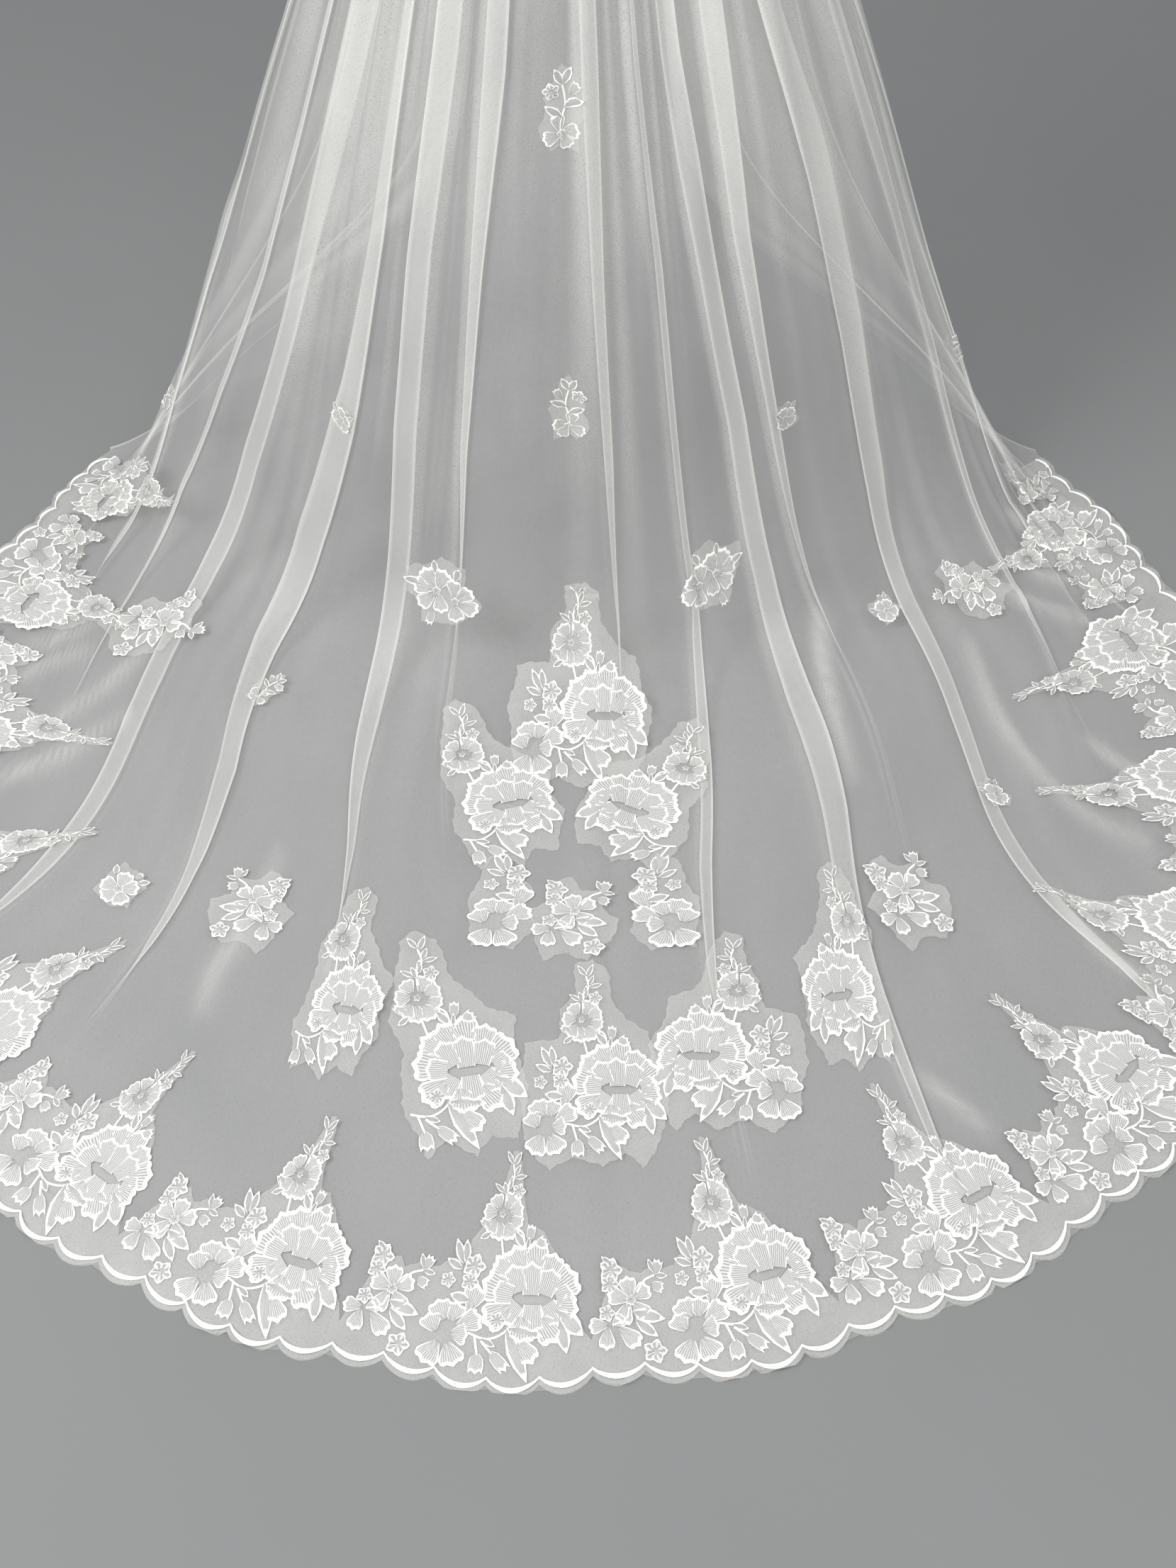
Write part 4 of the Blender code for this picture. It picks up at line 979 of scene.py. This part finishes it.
def lay_on_train(along, inward, height):
    """Points on the train at a distance along the hem and a distance in from it, both in metres."""
    line = [np.interp(along, HEM_ALONG, HEM_LINE[:, axis]) for axis in (0, 1)]
    way = [np.interp(along, HEM_ALONG, HEM_WAY[:, axis]) for axis in (0, 1)]
    bearing = np.interp(along, HEM_ALONG, HEM_BEARINGS)
    share = 1.0 - inward / np.interp(bearing, BEARINGS, LENGTHS)
    floor_height = surface(bearing, share)[:, 2]
    flat = np.stack([line[0] - way[1] * inward, line[1] + way[0] * inward, floor_height], axis=1)
    return drop_on_cloth(flat, np.array([0.0, 0.0, 1.0]), np.broadcast_to(height, np.shape(along)))


def grid_faces(rows, columns, start=0):
    """Faces of a grid of points."""
    corner = np.arange(rows - 1)[:, None] * columns + np.arange(columns - 1)[None, :]
    corner = corner.ravel() + start
    return np.stack([corner, corner + 1, corner + columns + 1, corner + columns], axis=1).tolist()


def net_strip():
    """Net ground of the hem, from its scalloped outer edge to its jagged inner edge."""
    stations = REPEATS * NET_STATIONS + 1
    bearing = np.linspace(-LACE_EDGE, LACE_EDGE, stations)
    scale = lace_scale(bearing)
    outer = np.maximum(edge_inset(bearing) - NET_PAST_CORD, EDGE_LEAST)
    nick = NICK * np.sin(np.arange(stations) * 2.3) * np.sin(np.arange(stations) * 0.77)
    depth = np.interp(repeat_place(bearing), *zip(*LACE_DEPTH)) + nick
    inner = depth * scale * np.interp(bearing, *zip(*DEEPER))
    along = np.interp(bearing, HEM_BEARINGS, HEM_ALONG)
    points, uvs = [], []
    for row in range(NET_ROWS + 1):
        inward = outer + (inner - outer) * row / NET_ROWS
        points.append(lay_on_train(along, inward, LIFT_NET))
        uvs.append(np.stack([along, inward], axis=1))
    return np.concatenate(points), grid_faces(NET_ROWS + 1, stations), np.concatenate(uvs)


def cord_strip():
    """Rolled cord along the scallops, thinner where two of them meet."""
    stations = REPEATS * CORD_STATIONS + 1
    bearing = np.linspace(-LACE_EDGE, LACE_EDGE, stations)
    scale = lace_scale(bearing)
    wave = np.abs(np.sin(math.pi * SCALLOPS * repeat_place(bearing)))
    width = CORD_WIDTH * scale * (CORD_WIDTHS[0] + CORD_WIDTHS[1] * wave)
    middle = edge_inset(bearing) + width * 0.5
    along = np.interp(bearing, HEM_BEARINGS, HEM_ALONG)
    points, uvs = [], []
    for place, lift in CORD_SECTION:
        height = LIFT_NET + CORD_OVER_NET + CORD_HEIGHT * lift
        points.append(lay_on_train(along, np.maximum(middle + place * width, CORD_LEAST), height))
        uvs.append(np.stack([np.full(stations, place), along * 60.0 + 1.0], axis=1))
    return np.concatenate(points), grid_faces(len(CORD_SECTION), stations), np.concatenate(uvs)


def hem_motif(index, name, centre, foot, size):
    """One motif of one repeat, laid on the train: centre a share of the repeat, the rest metres."""
    spots, faces, uvs = BOARDS[name]
    middle = -LACE_EDGE + REPEAT_ANGLE * (index + centre - PHASE)
    scale = float(lace_scale(middle))
    unit = size * scale / 100.0
    along = np.interp(middle, HEM_BEARINGS, HEM_ALONG) + spots[:, 0] * unit
    inward = (foot * scale + spots[:, 1] * unit) * np.interp(middle, *zip(*DEEPER))
    inward = inward + edge_inset(np.array([middle]))[0] * 0.5
    kept = (along > END_MARGIN) & (along < HEM_ALONG[-1] - END_MARGIN)
    faces = [face for face in faces if kept[face].all()]
    height = LIFT_THREAD + spots[:, 2] * RELIEF_HEIGHT * scale
    return lay_on_train(np.clip(along, 0.0, HEM_ALONG[-1]), inward, height), faces, uvs


def join_parts(parts):
    """One set of points, faces, UVs and material numbers from several."""
    points, faces, uvs, slots = [], [], [], []
    count = 0
    for part_points, part_faces, part_uvs, slot in parts:
        points.append(part_points)
        uvs.append(part_uvs)
        faces += [[corner + count for corner in face] for face in part_faces]
        slots += [slot] * len(part_faces)
        count += len(part_points)
    return np.concatenate(points), faces, np.concatenate(uvs), slots


hem_parts = [(*net_strip(), 0), (*cord_strip(), 1)]
for repeat in range(REPEATS + 1):
    for motif, centre, foot in (("full", MOTIF_CENTRE, 0.008), ("spray", SPRAY_CENTRE, 0.016)):
        if abs(REPEAT_ANGLE * (repeat + centre - PHASE) - LACE_EDGE) < LACE_EDGE:
            hem_parts.append((*hem_motif(repeat, motif, centre, foot, MOTIF_HEIGHT), 1))
hem_points, hem_faces, hem_uvs, hem_slots = join_parts(hem_parts)
lace_hem = sheet_object("lace_border", hem_points, hem_faces, hem_uvs)
lace_hem.data.polygons.foreach_set("material_index", hem_slots)
print("lace hem: %d faces" % len(hem_faces))

# %% [markdown]
# The appliques
# Motifs cut out of the same lace are scattered over the train, each on its own scrap of net with
# a scissor-cut edge. Each is laid flat on its board first, and then every point drops straight
# onto the tulle along the cloth's way out. So an applique bridges a pleat's edge as a real one
# that is sewn on over the fold.

# %% Lay the appliques
GROUNDS = {
    "full": [
        (-0.45, -0.40), (-0.31, -0.51), (-0.14, -0.45), (0.04, -0.51), (0.20, -0.44),
        (0.31, -0.52), (0.47, -0.33), (0.51, -0.10), (0.43, 0.00), (0.40, 0.14), (0.24, 0.20),
        (0.17, 0.28), (0.13, 0.45), (0.04, 0.51), (-0.08, 0.49), (-0.10, 0.34), (-0.19, 0.26),
        (-0.22, 0.12), (-0.44, 0.10), (-0.51, -0.12)],
    "tall": [
        (-0.36, -0.49), (-0.18, -0.42), (0.02, -0.51), (0.16, -0.43), (0.36, -0.46),
        (0.51, -0.24), (0.44, -0.10), (0.49, 0.06), (0.30, 0.12), (0.12, 0.22), (0.02, 0.30),
        (-0.04, 0.46), (-0.20, 0.51), (-0.34, 0.47), (-0.42, 0.30), (-0.51, 0.12),
        (-0.44, -0.04), (-0.51, -0.24)],
    "spray": [
        (-0.34, -0.51), (-0.10, -0.43), (0.14, -0.51), (0.42, -0.30), (0.51, -0.04),
        (0.34, 0.10), (0.38, 0.30), (0.12, 0.34), (0.00, 0.51), (-0.26, 0.45), (-0.30, 0.20),
        (-0.51, 0.08), (-0.43, -0.20)],
    "sprig": [
        (-0.40, -0.49), (-0.06, -0.44), (0.22, -0.51), (0.50, -0.28), (0.38, -0.06),
        (0.46, 0.12), (0.20, 0.28), (0.04, 0.51), (-0.26, 0.44), (-0.32, 0.18), (-0.50, 0.00),
        (-0.42, -0.26)],
    "bloom": [
        (-0.46, -0.38), (-0.10, -0.44), (0.14, -0.52), (0.51, -0.36), (0.40, -0.04),
        (0.50, 0.24), (0.20, 0.51), (-0.08, 0.42), (-0.38, 0.50), (-0.50, 0.14), (-0.40, -0.10)],
}
GROUNDS["cluster"] = GROUNDS["sprig"]
GROUNDS["pair"] = GROUNDS["bloom"]
APPLIQUES = [
    # number, motif, bearing, share, width, height, turn
    (1, "sprig", -1.0, 0.298, -48, 98, 0), (2, "sprig", 0.0, 0.449, 48, 88, 0),
    (3, "bloom", -31.0, 0.497, 44, 40, -10), (4, "bloom", 29.5, 0.493, 42, 42, 10),
    (5, "sprig", -66.0, 0.715, 40, 60, -10), (6, "sprig", 63.8, 0.66, 42, 62, 10),
    (7, "pair", -15.3, 0.569, 92, 92, -30), (8, "pair", 17.2, 0.564, -78, 96, 25),
    (9, "spray", -45.0, 0.726, 96, 138, 0), (10, "spray", 45.5, 0.70, -84, 104, 0),
    (11, "bloom", 35.2, 0.651, 40, 46, 0), (12, "sprig", -30.0, 0.683, 36, 58, 0),
    (13, "full", 1.0, 0.618, 168, 250, 0), (14, "tall", -6.3, 0.682, 130, 240, -22),
    (15, "tall", 6.6, 0.688, -136, 222, 30), (16, "cluster", -5.5, 0.753, 84, 138, -6),
    (17, "spray", 0.3, 0.762, 108, 116, 0), (18, "cluster", 7.6, 0.757, -88, 138, 8),
    (19, "tall", -16.2, 0.817, 94, 250, -8), (20, "tall", -7.8, 0.833, 138, 284, -20),
    (21, "full", 1.6, 0.841, 158, 246, 0), (22, "full", 11.3, 0.835, -168, 238, 20),
    (23, "tall", 20.2, 0.822, -94, 270, 20), (24, "bloom", -36.2, 0.849, 62, 64, -20),
    (25, "spray", -25.5, 0.804, -100, 112, -16), (26, "spray", 27.4, 0.81, 96, 134, 14),
    (27, "bloom", 38.2, 0.80, 36, 48, 20),
]
NET_STEP = 0.0065
CUT_WANDER = (0.0012, 0.0018)
ABOVE_STEP = 0.00012
THREAD_SHARE = 0.96
FULL_UNIT = 0.0024
LAID_SIZE = {"full": 1.19, "tall": 1.16, "spray": 1.10, "sprig": 1.08, "bloom": 1.0,
             "cluster": 1.10, "pair": 1.08}


def cut_net(outline, seed):
    """Triangles that fill a scissor-cut outline, with its edge nicked and points inside."""
    ring = []
    for start, end in zip(outline, np.roll(outline, -1, axis=0)):
        count = max(1, round(np.linalg.norm(end - start) / NET_STEP))
        side = np.array([end[1] - start[1], start[0] - end[0]]) / np.linalg.norm(end - start)
        for step in range(count):
            count_on = len(ring) + seed
            wave = (math.sin(count_on * 2.1) * CUT_WANDER[0]
                    + math.sin(count_on * 0.6) * CUT_WANDER[1])
            ring.append(start + (end - start) * step / count + side * wave)
    ring = np.array(ring)
    low, high = ring.min(0), ring.max(0)
    across = np.arange(low[0] + NET_STEP / 2.0, high[0], NET_STEP)
    along = np.arange(low[1] + NET_STEP / 2.0, high[1], NET_STEP)
    inner = np.array([(x, y) for y in along for x in across])
    spots = [Vector(p) for p in np.concatenate([ring, inner])]
    filled = delaunay_2d_cdt(spots, [], [list(range(len(ring)))], 1, 1e-5)
    return np.array([v[:] for v in filled[0]]), [list(face) for face in filled[2]]


def lay_applique(spec):
    """One applique as a mesh object with its net and its embroidery."""
    number, name, bearing, share, width, height, turn = spec
    frame_there = surface_frame(np.array([bearing]), np.array([share]))
    across, outward = frame_there[1][0], frame_there[2][0]
    centre = surface(bearing, share)
    up = np.cross(outward, across)
    spin = math.radians(turn)
    side = across * math.cos(spin) - up * math.sin(spin)
    rise = across * math.sin(spin) + up * math.cos(spin)
    size = np.array([width, height]) / 1000.0 * LAID_SIZE[name]
    above = ABOVE_STEP * (number % 4)

    def on_cloth(flat, lift):
        """Points of the flat board dropped onto the cloth."""
        placed = centre + flat[:, :1] * side + flat[:, 1:2] * rise
        return drop_on_cloth(placed, outward, lift)

    outline = np.array(GROUNDS[name]) * size
    if width < 0:
        outline = outline[::-1]
    net_flat, net_faces = cut_net(outline, number * 7)
    net_points = on_cloth(net_flat, np.full(len(net_flat), LIFT_NET + above))
    spots, faces, uvs = BOARDS[name]
    low, high = spots[:, :2].min(0), spots[:, :2].max(0)
    flat = ((spots[:, :2] - low) / (high - low) - 0.5) * size * THREAD_SHARE
    unit = abs(size[1]) / (high[1] - low[1])
    lift = LIFT_THREAD + above + spots[:, 2] * RELIEF_HEIGHT * min(1.0, unit / FULL_UNIT)
    thread_points = on_cloth(flat, lift)
    if width < 0:
        faces = [face[::-1] for face in faces]
    parts = [(net_points, net_faces, net_flat, 0), (thread_points, faces, uvs, 1)]
    points, faces, uvs, slots = join_parts(parts)
    thing = sheet_object("lace_applique_%02d" % number, points, faces, uvs)
    thing.data.polygons.foreach_set("material_index", slots)
    return thing


appliques = [lay_applique(spec) for spec in APPLIQUES]
print("appliques: %d, %d faces" % (len(appliques), sum(len(a.data.polygons) for a in appliques)))

# %% [markdown]
# The ribbon
# A satin ribbon is folded over the gathered edge and the comb's spine, and stitched through.
# It is a strip bent into a narrow arch, slightly puckered by its stitches. The photograph stops
# below it, so it is plain, in the size that such a ribbon has.

# %% Fold the ribbon
RIBBON_HALF = 0.0485
RIBBON_ARCH = [
    (-0.0046, -0.0085), (-0.0047, -0.0050), (-0.0047, -0.0015), (-0.0043, 0.0006),
    (-0.0030, 0.0018), (-0.0005, 0.0021), (0.0020, 0.0017), (0.0033, 0.0005), (0.0036, -0.0015),
    (0.0036, -0.0050), (0.0035, -0.0085)]
RIBBON_COLUMNS = 120
RIBBON_WALL = 0.0004
RIBBON_ROW_LENGTH = 0.0026
PUCKER_HEIGHT = 0.00022
PUCKER_AT_FOLD = 0.3
PUCKER_WAVES = (1750.0, 190.0)


def fold_ribbon():
    """The ribbon as an arched strip with fine puckers."""
    across = np.linspace(-RIBBON_HALF, RIBBON_HALF, RIBBON_COLUMNS + 1)
    points, uvs = [], []
    for row, (y, z) in enumerate(RIBBON_ARCH):
        wave = np.sin(across * PUCKER_WAVES[0] + 1.3 * np.sin(across * PUCKER_WAVES[1]))
        pucker = PUCKER_HEIGHT * wave * (1.0 if z < 0.0 else PUCKER_AT_FOLD)
        sign = -1.0 if y < -0.0005 else 1.0
        puckered = np.full(len(across), y) + sign * np.abs(pucker)
        points.append(np.stack([across, puckered, np.full(len(across), z)], axis=1))
        uvs.append(np.stack([across, np.full(len(across), row * RIBBON_ROW_LENGTH)], axis=1))
    faces = grid_faces(len(RIBBON_ARCH), len(across))
    ribbon = sheet_object("satin_ribbon", np.concatenate(points), faces, np.concatenate(uvs))
    wall = ribbon.modifiers.new("thickness", "SOLIDIFY")
    wall.thickness = RIBBON_WALL
    wall.offset = -1.0
    clear_selection()
    bpy.context.view_layer.objects.active = ribbon
    ribbon.select_set(True)
    bpy.ops.object.modifier_apply(modifier="thickness")
    return ribbon


ribbon = fold_ribbon()
print("ribbon: %d faces" % len(ribbon.data.polygons))

# %% [markdown]
# Finish: soft tulle
# Tulle is mostly holes, so light passes it, and it shows where it lies in layers. The stored
# density is the share that the threads cover, higher where the cloth is gathered, with painted
# glint added where the cloth is steep. Fold edges, creases and side edges carry more painted glint:
# the net is drawn denser there, in place of the net seen edge on. The real net has holes of a
# millimetre, too fine for a picture of the whole veil, so its grain is drawn at 4 mm.

# %% Material of the tulle
tulle_finish, tree, shader = new_finish("soft_tulle_ivory")
place = add_node(tree, "ShaderNodeUVMap").outputs["UV"]
net = add_node(tree, "ShaderNodeTexVoronoi", Vector=place, Scale=250.0)
net.feature = "DISTANCE_TO_EDGE"
cloudy = add_node(tree, "ShaderNodeTexNoise", Vector=place, Scale=3.0, Detail=5.0, Roughness=0.55)
cover_and_glint = add_node(tree, "ShaderNodeAttribute")
cover_and_glint.attribute_name = "net_cover_and_glint"
painted_glint = add_node(tree, "ShaderNodeAttribute")
painted_glint.attribute_name = "painted_glint"
grain = maths(tree, "MULTIPLY_ADD", net.outputs["Distance"], -0.9)
grain.node.inputs[2].default_value = 1.16
clouds = maths(tree, "MULTIPLY_ADD", cloudy.outputs["Fac"], 0.7)
clouds.node.inputs[2].default_value = 0.65
# Painted glint: both stored values make the net denser, so whiter, on folds, creases and steep
# parts.
cover = maths(tree, "MULTIPLY", maths(tree, "MULTIPLY", cover_and_glint.outputs["Fac"], grain), clouds)
glint = maths(tree, "MULTIPLY", painted_glint.outputs["Fac"], 0.26)
cover = maths(tree, "MINIMUM", maths(tree, "ADD", cover, glint), 0.97)
tree.links.new(cover, shader.inputs["Alpha"])
tint = two_colours(tree, cloudy.outputs["Fac"], "E9E9E6", "F7F6F2")
tree.links.new(tint, shader.inputs["Base Color"])
wrinkles = add_node(tree, "ShaderNodeTexNoise", Vector=place, Scale=9.0, Detail=6.0, Roughness=0.6,
                    Distortion=0.4)
bump = add_node(tree, "ShaderNodeBump", Strength=0.35, Distance=0.004,
                Height=wrinkles.outputs["Fac"])
tree.links.new(bump.outputs["Normal"], shader.inputs["Normal"])
shader.inputs["Roughness"].default_value = 0.55
shader.inputs["Sheen Weight"].default_value = 0.35
shader.inputs["Sheen Roughness"].default_value = 0.4
tulle.data.materials.append(tulle_finish)
print("tulle finish made")

# %% [markdown]
# Finish: lace net and embroidery
# The lace's own net is stiffer and closer than the tulle, so it reads a little lighter, and its
# holes are drawn at 3 mm. On the flowers, thread bundles run along each petal with small gaps
# between them, and the rolled edge is solid and paler. The threads' lines come from a wave across
# the shape's own UV, and they also drive the bump.

# %% Materials of the lace
RIM_LENGTHS = (0.80, 0.87)
RIM_SIDES = (0.38, 0.46)

net_finish, tree, shader = new_finish("lace_net_ivory")
place = add_node(tree, "ShaderNodeUVMap").outputs["UV"]
mesh_holes = add_node(tree, "ShaderNodeTexVoronoi", Vector=place, Scale=330.0)
mesh_holes.feature = "DISTANCE_TO_EDGE"
patches = add_node(tree, "ShaderNodeTexNoise", Vector=place, Scale=22.0, Detail=4.0)
cover = maths(tree, "MULTIPLY_ADD", mesh_holes.outputs["Distance"], -0.30)
cover.node.inputs[2].default_value = 0.35
uneven = maths(tree, "ADD", maths(tree, "MULTIPLY", patches.outputs["Fac"], 0.5), 0.75)
cover = maths(tree, "MULTIPLY", cover, uneven)
tree.links.new(cover, shader.inputs["Alpha"])
tint = two_colours(tree, patches.outputs["Fac"], "E2E2DF", "F2F1ED")
tree.links.new(tint, shader.inputs["Base Color"])
bump = add_node(tree, "ShaderNodeBump", Strength=0.3, Distance=0.002, Height=patches.outputs["Fac"])
tree.links.new(bump.outputs["Normal"], shader.inputs["Normal"])
shader.inputs["Roughness"].default_value = 0.65
shader.inputs["Sheen Weight"].default_value = 0.25

thread_finish, tree, shader = new_finish("embroidery_thread_ivory")
place = add_node(tree, "ShaderNodeUVMap").outputs["UV"]
strands = add_node(tree, "ShaderNodeTexWave", Vector=place, Scale=3.2, Distortion=1.6, Detail=2.0)
strands.inputs["Detail Scale"].default_value = 2.5
strands.bands_direction = "X"
parts = add_node(tree, "ShaderNodeSeparateXYZ", Vector=place)
rim = add_node(tree, "ShaderNodeMapRange", Value=parts.outputs["Y"])
rim.inputs["From Min"].default_value, rim.inputs["From Max"].default_value = RIM_LENGTHS
side = add_node(tree, "ShaderNodeMapRange", Value=maths(tree, "ABSOLUTE", parts.outputs["X"], 0.0))
side.inputs["From Min"].default_value, side.inputs["From Max"].default_value = RIM_SIDES
edged = maths(tree, "MAXIMUM", rim.outputs["Result"], side.outputs["Result"])
filled = maths(tree, "MULTIPLY", strands.outputs["Fac"], 0.66)
solid = maths(tree, "MAXIMUM", edged, filled)
tint = two_colours(tree, solid, "A2A4A3", "FCFAF5")
tree.links.new(tint, shader.inputs["Base Color"])
bump = add_node(tree, "ShaderNodeBump", Strength=0.7, Distance=0.0009, Height=solid)
tree.links.new(bump.outputs["Normal"], shader.inputs["Normal"])
shader.inputs["Roughness"].default_value = 0.6
shader.inputs["Sheen Weight"].default_value = 0.2
for piece in [lace_hem] + appliques:
    piece.data.materials.append(net_finish)
    piece.data.materials.append(thread_finish)
print("lace finishes made")

# %% [markdown]
# Finish: ribbon and comb
# The ribbon is satin: its fine ribs run along it, and it has a soft gloss. The comb is clear
# moulded plastic, slightly frosted by wear.

# %% Materials of the ribbon and the comb
ribbon_finish, tree, shader = new_finish("satin_ribbon_ivory")
place = add_node(tree, "ShaderNodeTexCoord").outputs["Object"]
ribs = add_node(tree, "ShaderNodeTexWave", Vector=place, Scale=900.0, Distortion=0.3)
ribs.bands_direction = "Z"
weave = add_node(tree, "ShaderNodeTexNoise", Vector=place, Scale=600.0, Detail=3.0)
mixed = maths(tree, "ADD", maths(tree, "MULTIPLY", ribs.outputs["Fac"], 0.5),
              maths(tree, "MULTIPLY", weave.outputs["Fac"], 0.5))
tint = two_colours(tree, mixed, "E4E1D8", "F8F6F0")
tree.links.new(tint, shader.inputs["Base Color"])
bump = add_node(tree, "ShaderNodeBump", Strength=0.3, Distance=0.0002, Height=mixed)
tree.links.new(bump.outputs["Normal"], shader.inputs["Normal"])
shader.inputs["Roughness"].default_value = 0.32
shader.inputs["Sheen Weight"].default_value = 0.4
ribbon.data.materials.append(ribbon_finish)

comb_finish, tree, shader = new_finish("clear_comb_plastic")
place = add_node(tree, "ShaderNodeTexCoord").outputs["Object"]
haze = add_node(tree, "ShaderNodeTexNoise", Vector=place, Scale=180.0, Detail=4.0)
tint = two_colours(tree, haze.outputs["Fac"], "DCDFDE", "F1F3F2")
tree.links.new(tint, shader.inputs["Base Color"])
rough = add_node(tree, "ShaderNodeMapRange", Value=haze.outputs["Fac"])
rough.inputs["To Min"].default_value = 0.10
rough.inputs["To Max"].default_value = 0.28
tree.links.new(rough.outputs["Result"], shader.inputs["Roughness"])
bump = add_node(tree, "ShaderNodeBump", Strength=0.15, Distance=0.0003, Height=haze.outputs["Fac"])
tree.links.new(bump.outputs["Normal"], shader.inputs["Normal"])
shader.inputs["IOR"].default_value = 1.49
shader.inputs["Transmission Weight"].default_value = 0.75
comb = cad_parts["comb"]
comb.data.materials.clear()
comb.data.materials.append(comb_finish)
print("ribbon and comb finishes made")

# %% [markdown]
# Floor and light
# The floor is plain and pale, but not white, because ivory lace has to stand out from it.
# One large soft light stands high on the left and a weaker one on the right, as in the photograph,
# where the upper left of the veil is lighter. A small one in front lifts the steep falls.

# %% Floor, lights and world
clear_selection()
bpy.ops.mesh.primitive_plane_add(size=30.0, location=(0.0, 0.0, -COMB_HEIGHT))
floor = bpy.context.object
floor.name = "studio_floor"
floor_finish, tree, shader = new_finish("studio_floor_grey")
place = add_node(tree, "ShaderNodeTexCoord").outputs["Object"]
cast = add_node(tree, "ShaderNodeTexNoise", Vector=place, Scale=1.5, Detail=3.0)
tint = two_colours(tree, cast.outputs["Fac"], "818282", "888989")
tree.links.new(tint, shader.inputs["Base Color"])
shader.inputs["Roughness"].default_value = 0.9
floor.data.materials.append(floor_finish)


def soft_light(name, place, target, size, power):
    """A square area light that points at a target."""
    data = bpy.data.lights.new(name, "AREA")
    data.size = size
    data.energy = power
    light = bpy.data.objects.new(name, data)
    light.location = place
    light.rotation_euler = (Vector(target) - Vector(place)).to_track_quat("-Z", "Y").to_euler()
    bpy.context.scene.collection.objects.link(light)
    return light


soft_light("key_light", (-2.3, -1.7, 1.7), (0.0, -0.7, -1.4), size=1.5, power=106.0)
soft_light("fill_light", (2.8, -1.6, 1.2), (0.0, -0.8, -1.5), size=2.5, power=32.0)
soft_light("front_light", (0.4, -3.4, 0.9), (0.0, -0.3, -0.9), size=1.6, power=26.0)
world = bpy.data.worlds.new("studio")
world.use_nodes = True
world.node_tree.nodes["Background"].inputs["Color"].default_value = srgb("F2F3F5")
world.node_tree.nodes["Background"].inputs["Strength"].default_value = 0.58
bpy.context.scene.world = world
bpy.context.scene.view_settings.view_transform = "Standard"
bpy.context.scene.cycles.transparent_max_bounces = 40
print("floor and %d lights made" % len(bpy.data.lights))

# %% [markdown]
# Join the pieces to the part
# Every piece rides on the part's one body and takes the place of its CAD solid, which stays for
# collision.

# %% Tie pieces to the CAD nodes
for piece in [tulle, lace_hem, ribbon] + appliques:
    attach(piece, "root")
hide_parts("tulle")
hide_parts("lace_hem")
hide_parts("heading_binding")
for piece, spec in zip(appliques, APPLIQUES):
    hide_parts("applique_%02d" % spec[0])
